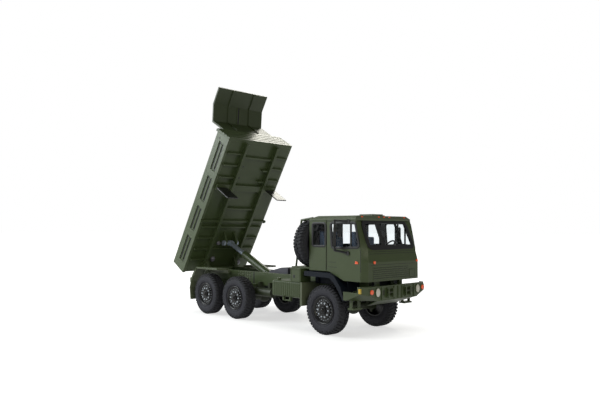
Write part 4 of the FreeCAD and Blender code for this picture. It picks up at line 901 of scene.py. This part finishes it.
def make_bed_marks():
    """Dark spots on the sides and under the floor, and a black strip up the guard that paints the shade in
    its channel.
    """
    bm = bmesh.new()
    x, z = SIDE_SPOT
    for side in SIDES.values():
        add_cylinder(bm, (x, side * (BED_SIDE - 0.1), z), (x, side * (BED_SIDE + 0.05), z), 0.4)
    # painted shade in the channel up the guard
    add_guard_strip(bm, share=0.97, lift=0.05, y=-0.45, width=0.75)
    for x, y in FLOOR_SPOTS:
        add_cylinder(bm, (x, y, UNDER - 0.05), (x, y, UNDER + 0.1), 0.35)
    finish_piece("bed_dark_spots_and_channel_shade", bm, BLACK, "bed", BED, bevel=0)


def make_bed_brackets():
    """The guard channel's edges, pegs at the sides, and lugs and a frame under the floor."""
    bm = bmesh.new()
    for y in (-1.0, 0.45):
        add_guard_strip(bm, share=0.99, lift=0.25, y=y, width=0.3)
    near, far = PEG_Y
    for side in SIDES.values():
        add_cylinder(bm, (PEG_X, side * near, PEG_Z), (PEG_X, side * far, PEG_Z), *PEG_RADII)
    for x in LUGS_X:
        for start, end in LUGS_Y:
            add_box(bm, (x - LUG_HALF, start, UNDER - 1.6), (x + LUG_HALF, end, UNDER - 0.3))
    low, high = UNDER - 0.35, UNDER + 0.1
    for x in FRAME_X:
        add_box(bm, (x - FRAME_HALF, FRAME_Y[0], low), (x + FRAME_HALF, FRAME_END_Y, high))
    for y in FRAME_Y:
        add_box(bm, (FRAME_X[0], y - FRAME_HALF, low), (FRAME_X[1], y + FRAME_HALF, high))
    finish_piece("bed_brackets", bm, OLIVE, "bed", BED)


def make_bed_bosses():
    bm = bmesh.new()
    for x, y, z, radius in BOSSES:
        add_cylinder(bm, (x, y, UNDER + 0.1), (x, y, z), radius, radius * 0.9, sides=24)
        add_ball(bm, (x, y, z), radius * 0.9, (1, 1, 0.5))
    finish_piece("bed_bosses", bm, WORN, "bed", BED)


def make_hoist_pin():
    bm = bmesh.new()
    for side in SIDES.values():
        near, far = [HOIST_EYE + Vector((0, side * y, 0)) for y in HOIST_PIN_Y]
        add_cylinder(bm, near, far, *HOIST_PIN_RADII, sides=28)
    finish_piece("hoist_pin_ends", bm, SATIN, "bed", BED)


# ---- side boxes, rails and the rear end
BOX_FACE = 18.0
BOX_RIBS, BOX_RIB_START, BOX_RIB_PITCH = 14, -26.6, 1.1
BOX_RIB_WIDTH, BOX_RIB_PROUD, BOX_RIB_Z = 0.5, 0.14, (12.9, 18.4)
CABINET_POSTS_X, CABINET_POST_HALF, CABINET_POST_Z = (-16.5, -12.0), 0.2, (19.0, 23.9)
CABINET_RAIL_X, CABINET_RAIL_Z = (-17.0, -11.0), (23.7, 24.1)
STEP_ARMS_X, STEP_ARM_WIDTH, STEP_ARM_Z = (-21.4, -17.6), 0.7, (11.2, 12.6)
STEP_X, STEP_Z, STEP_IN = (-21.4, -16.9), (11.0, 11.5), 1.2         # STEP_IN is measured from BOX_FACE
BOX_CAP, BOX_CAP_Z, BOX_CAP_RADII = (-25.2, 16.4), (18.6, 19.7), (0.9, 0.75)
SPLASH_STRIP_X, SPLASH_STRIP_Y, SPLASH_STRIP_Z = (-11.42, -11.2), 17.5, (9.9, 18.6)
RAIL_SIDE = 7.5
RIVET_COLUMNS, RIVET_START, RIVET_PITCH, RIVET_ROWS = 6, -62.5, 1.7, (17.2, 18.4, 19.6)
RIVET_OUT, RIVET_RADII = 0.4, (0.45, 0.35)
TAIL_LAMPS = ((15.5, 15.2, 0.4, 0.55, 0.5), (14.9, 14.25, 0.35, 0.35, 0.3))   # y, z, length, radii
TAIL_FACE = -88.3
MUDGUARD_EDGE = ((-65.4, 21.05), (-81.9, 21.05), (-84.8, 17.75), (-86.6, 14.45))
MUDGUARD_EDGE_Y = 17.45


def add_side_box(bm, side, x, y, z):
    """A box on one side, from its ranges of x, y and z on the left."""
    add_box(bm, (x[0], side * y[0], z[0]), (x[1], side * y[1], z[1]))


def draw_side_ribs(bm):
    """Ribs on the fuel tank and the battery box, and the edges of the cabinets above them."""
    rib_y = BOX_FACE - 0.1, BOX_FACE + BOX_RIB_PROUD
    for side in SIDES.values():
        for i in range(BOX_RIBS):
            x = BOX_RIB_START + i * BOX_RIB_PITCH
            add_side_box(bm, side, (x, x + BOX_RIB_WIDTH), rib_y, BOX_RIB_Z)
        for x in CABINET_POSTS_X:
            ends = x - CABINET_POST_HALF, x + CABINET_POST_HALF
            add_side_box(bm, side, ends, (17.8, 18.0), CABINET_POST_Z)
        add_side_box(bm, side, CABINET_RAIL_X, (17.75, 18.1), CABINET_RAIL_Z)


def draw_side_brackets(bm):
    """A step under each side box, a cap on top of it and a strip on the splash panel."""
    x, y = BOX_CAP
    inner = BOX_FACE - STEP_IN
    for side in SIDES.values():
        for arm in STEP_ARMS_X:
            add_side_box(bm, side, (arm, arm + STEP_ARM_WIDTH), (inner, BOX_FACE - 0.1), STEP_ARM_Z)
        add_side_box(bm, side, STEP_X, (inner, BOX_FACE - 0.4), STEP_Z)
        add_cylinder(bm, (x, side * y, BOX_CAP_Z[0]), (x, side * y, BOX_CAP_Z[1]), *BOX_CAP_RADII)
        middle = side * SPLASH_STRIP_Y
        add_box(bm, (SPLASH_STRIP_X[0], middle - 0.5, SPLASH_STRIP_Z[0]),
                (SPLASH_STRIP_X[1], middle + 0.5, SPLASH_STRIP_Z[1]))


def draw_dark_slots(bm):
    """A slot in each cabinet, and a line down each rail."""
    for side in SIDES.values():
        add_side_box(bm, side, (-15.3, -14.3), (17.86, 17.96), (20.3, 21.4))
        add_side_box(bm, side, (-51.9, -51.3), (RAIL_SIDE + 0.05, RAIL_SIDE + 0.18), (14.7, 20.15))


def draw_tail_lamps(bm):
    for side in SIDES.values():
        for y, z, length, radius, end_radius in TAIL_LAMPS:
            add_cylinder(bm, (TAIL_FACE, side * y, z), (TAIL_FACE - length, side * y, z), radius, end_radius)


def draw_mudguard_edges(bm):
    for side in SIDES.values():
        add_pipe(bm, [Vector((x, side * MUDGUARD_EDGE_Y, z)) for x, z in MUDGUARD_EDGE], 0.3)


def draw_rail_rivets(bm):
    for side in SIDES.values():
        for i in range(RIVET_COLUMNS):
            for z in RIVET_ROWS:
                place = Vector((RIVET_START + RIVET_PITCH * i, side * RAIL_SIDE, z))
                add_cylinder(bm, place, place + Vector((0, side * RIVET_OUT, 0)), *RIVET_RADII, sides=8)


CHASSIS_PIECES = (
    ("side_ribs", draw_side_ribs, OLIVE), ("side_brackets", draw_side_brackets, OLIVE),
    ("dark_slots", draw_dark_slots, BLACK), ("tail_lamps", draw_tail_lamps, RED),
    ("mudguard_edges", draw_mudguard_edges, OLIVE), ("rail_rivets", draw_rail_rivets, LIT_OLIVE))


# ---- stage, light and camera, in metres
FLOOR_SIZE, FLOOR_DROP = 8.0, 0.00002
# the floor's glow at the wheels' rectangle, where its painted shadow is darkest
FLOOR_GLOW = 0.62
FLOOR_SHADOW_FADE = (0.0, 0.024)       # from the wheels' rectangle, where the glow starts and stops rising: the dimmer glow near the wheels is a painted shadow
FOOTPRINT_MIDDLE, FOOTPRINT_HALF = (0.002, 0.0, 0.0), (0.046, 0.014, 0.0)
FLOOR_REFLECTED = 0.5           # of the floor's glow, in glossy surfaces
AMBIENT = 0.13
REFLECTED = 0.20                # what glossy surfaces see of the white room
LAMPS = (  # name, place, size, power and colour: aimed at the truck's middle
    ("overhead_back", (-0.50, 0.66, 0.70), 0.30, 2.4, (1.0, 0.98, 0.88)),
    ("right_side", (-0.34, -0.33, 0.27), 0.32, 1.8, (0.95, 1.0, 1.0)),
    ("front_fill", (0.75, -0.30, 0.35), 0.50, 1.3, (1.0, 0.97, 0.80)),
)
CAMERA_PLACE = TRUCK @ Vector((154.7, -178.0, 39.4)) * MM
CAMERA_AIM = (-0.71962, 0.69273, 0.04772)
CAMERA_ROLL = 0.22              # degrees
CAMERA_LENS = 35.84             # mm


def make_camera():
    data = bpy.data.cameras.new("camera")
    data.lens = CAMERA_LENS
    data.clip_start = 0.005
    camera = bpy.data.objects.new("camera", data)
    bpy.context.scene.collection.objects.link(camera)
    camera.location = CAMERA_PLACE
    turn = Vector(CAMERA_AIM).to_track_quat("-Z", "Y").to_matrix().to_4x4()
    camera.matrix_world = (Matrix.Translation(CAMERA_PLACE) @ turn
                           @ Matrix.Rotation(math.radians(CAMERA_ROLL), 4, "Z"))
    bpy.context.scene.camera = camera


def make_world():
    """A room that the camera sees as white, and surfaces as much dimmer."""
    world = bpy.data.worlds.new("white room")
    bpy.context.scene.world = world
    world.use_nodes = True
    nodes, links = world.node_tree.nodes, world.node_tree.links
    background = nodes["Background"]
    background.inputs["Color"].default_value = (1, 1, 1, 1)
    links.new(ray_strength(nodes, links, REFLECTED, AMBIENT), background.inputs["Strength"])


def make_lamps():
    target = (cad_box[0] + cad_box[1]) / 2
    for name, place, size, power, colour in LAMPS:
        light = bpy.data.lights.new(name, "AREA")
        light.shape = "SQUARE"
        light.size = size
        light.energy = power
        light.color = colour
        lamp = bpy.data.objects.new(name, light)
        bpy.context.scene.collection.objects.link(lamp)
        lamp.location = place
        lamp.rotation_euler = (target - Vector(place)).to_track_quat("-Z", "Y").to_euler()


def make_floor():
    """A white floor whose glow is dimmer near the wheels, which paints a shadow round the truck."""
    bpy.ops.mesh.primitive_plane_add(size=FLOOR_SIZE, location=(0, 0, cad_box[0].z - FLOOR_DROP))
    floor = bpy.context.object
    floor.name = "floor"
    mat, nodes, links, shader = new_material("white_floor", 0.9)
    shader.inputs["Base Color"].default_value = (0.6, 0.6, 0.6, 1.0)
    shader.inputs["Specular IOR Level"].default_value = 0.0
    shader.inputs["Emission Color"].default_value = (1, 1, 1, 1)
    coords = nodes.new("ShaderNodeTexCoord")
    across = vector_step(nodes, links, "SUBTRACT", coords.outputs["Object"], FOOTPRINT_MIDDLE)
    across = vector_step(nodes, links, "ABSOLUTE", across)
    past = vector_step(nodes, links, "SUBTRACT", across, FOOTPRINT_HALF)
    past = vector_step(nodes, links, "MAXIMUM", past, (0, 0, 0))
    away = vector_step(nodes, links, "LENGTH", past)
    # a painted shadow: the glow is lowest at the wheels' rectangle and rises away from it
    glow = ranged(nodes, links, away, *FLOOR_SHADOW_FADE, FLOOR_GLOW, 1.0)
    strength = math_step(nodes, links, "MULTIPLY", glow, ray_strength(nodes, links, FLOOR_REFLECTED, 0.0))
    links.new(strength, shader.inputs["Emission Strength"])
    floor.data.materials.append(mat)


def finish_cad_nodes():
    for name, obj in frame["nodes"].items():
        obj.data.materials.clear()
        obj.data.materials.append(NODE_FINISH.get(name, OLIVE))


make_camera()
make_world()
make_lamps()
make_floor()
finish_cad_nodes()
make_wheels()
make_cab_sides()
make_windscreen_gasket()
make_front_panel()
make_cab_lamps()
make_wiper()
make_roof_hatch()
make_seat_pads()
make_drawn("bumper", BUMPER_PIECES)
make_recess_ribs()
make_bed_marks()
make_bed_brackets()
make_bed_bosses()
make_hoist_pin()
make_drawn("chassis", CHASSIS_PIECES)

bpy.context.scene.view_settings.view_transform = "Standard"
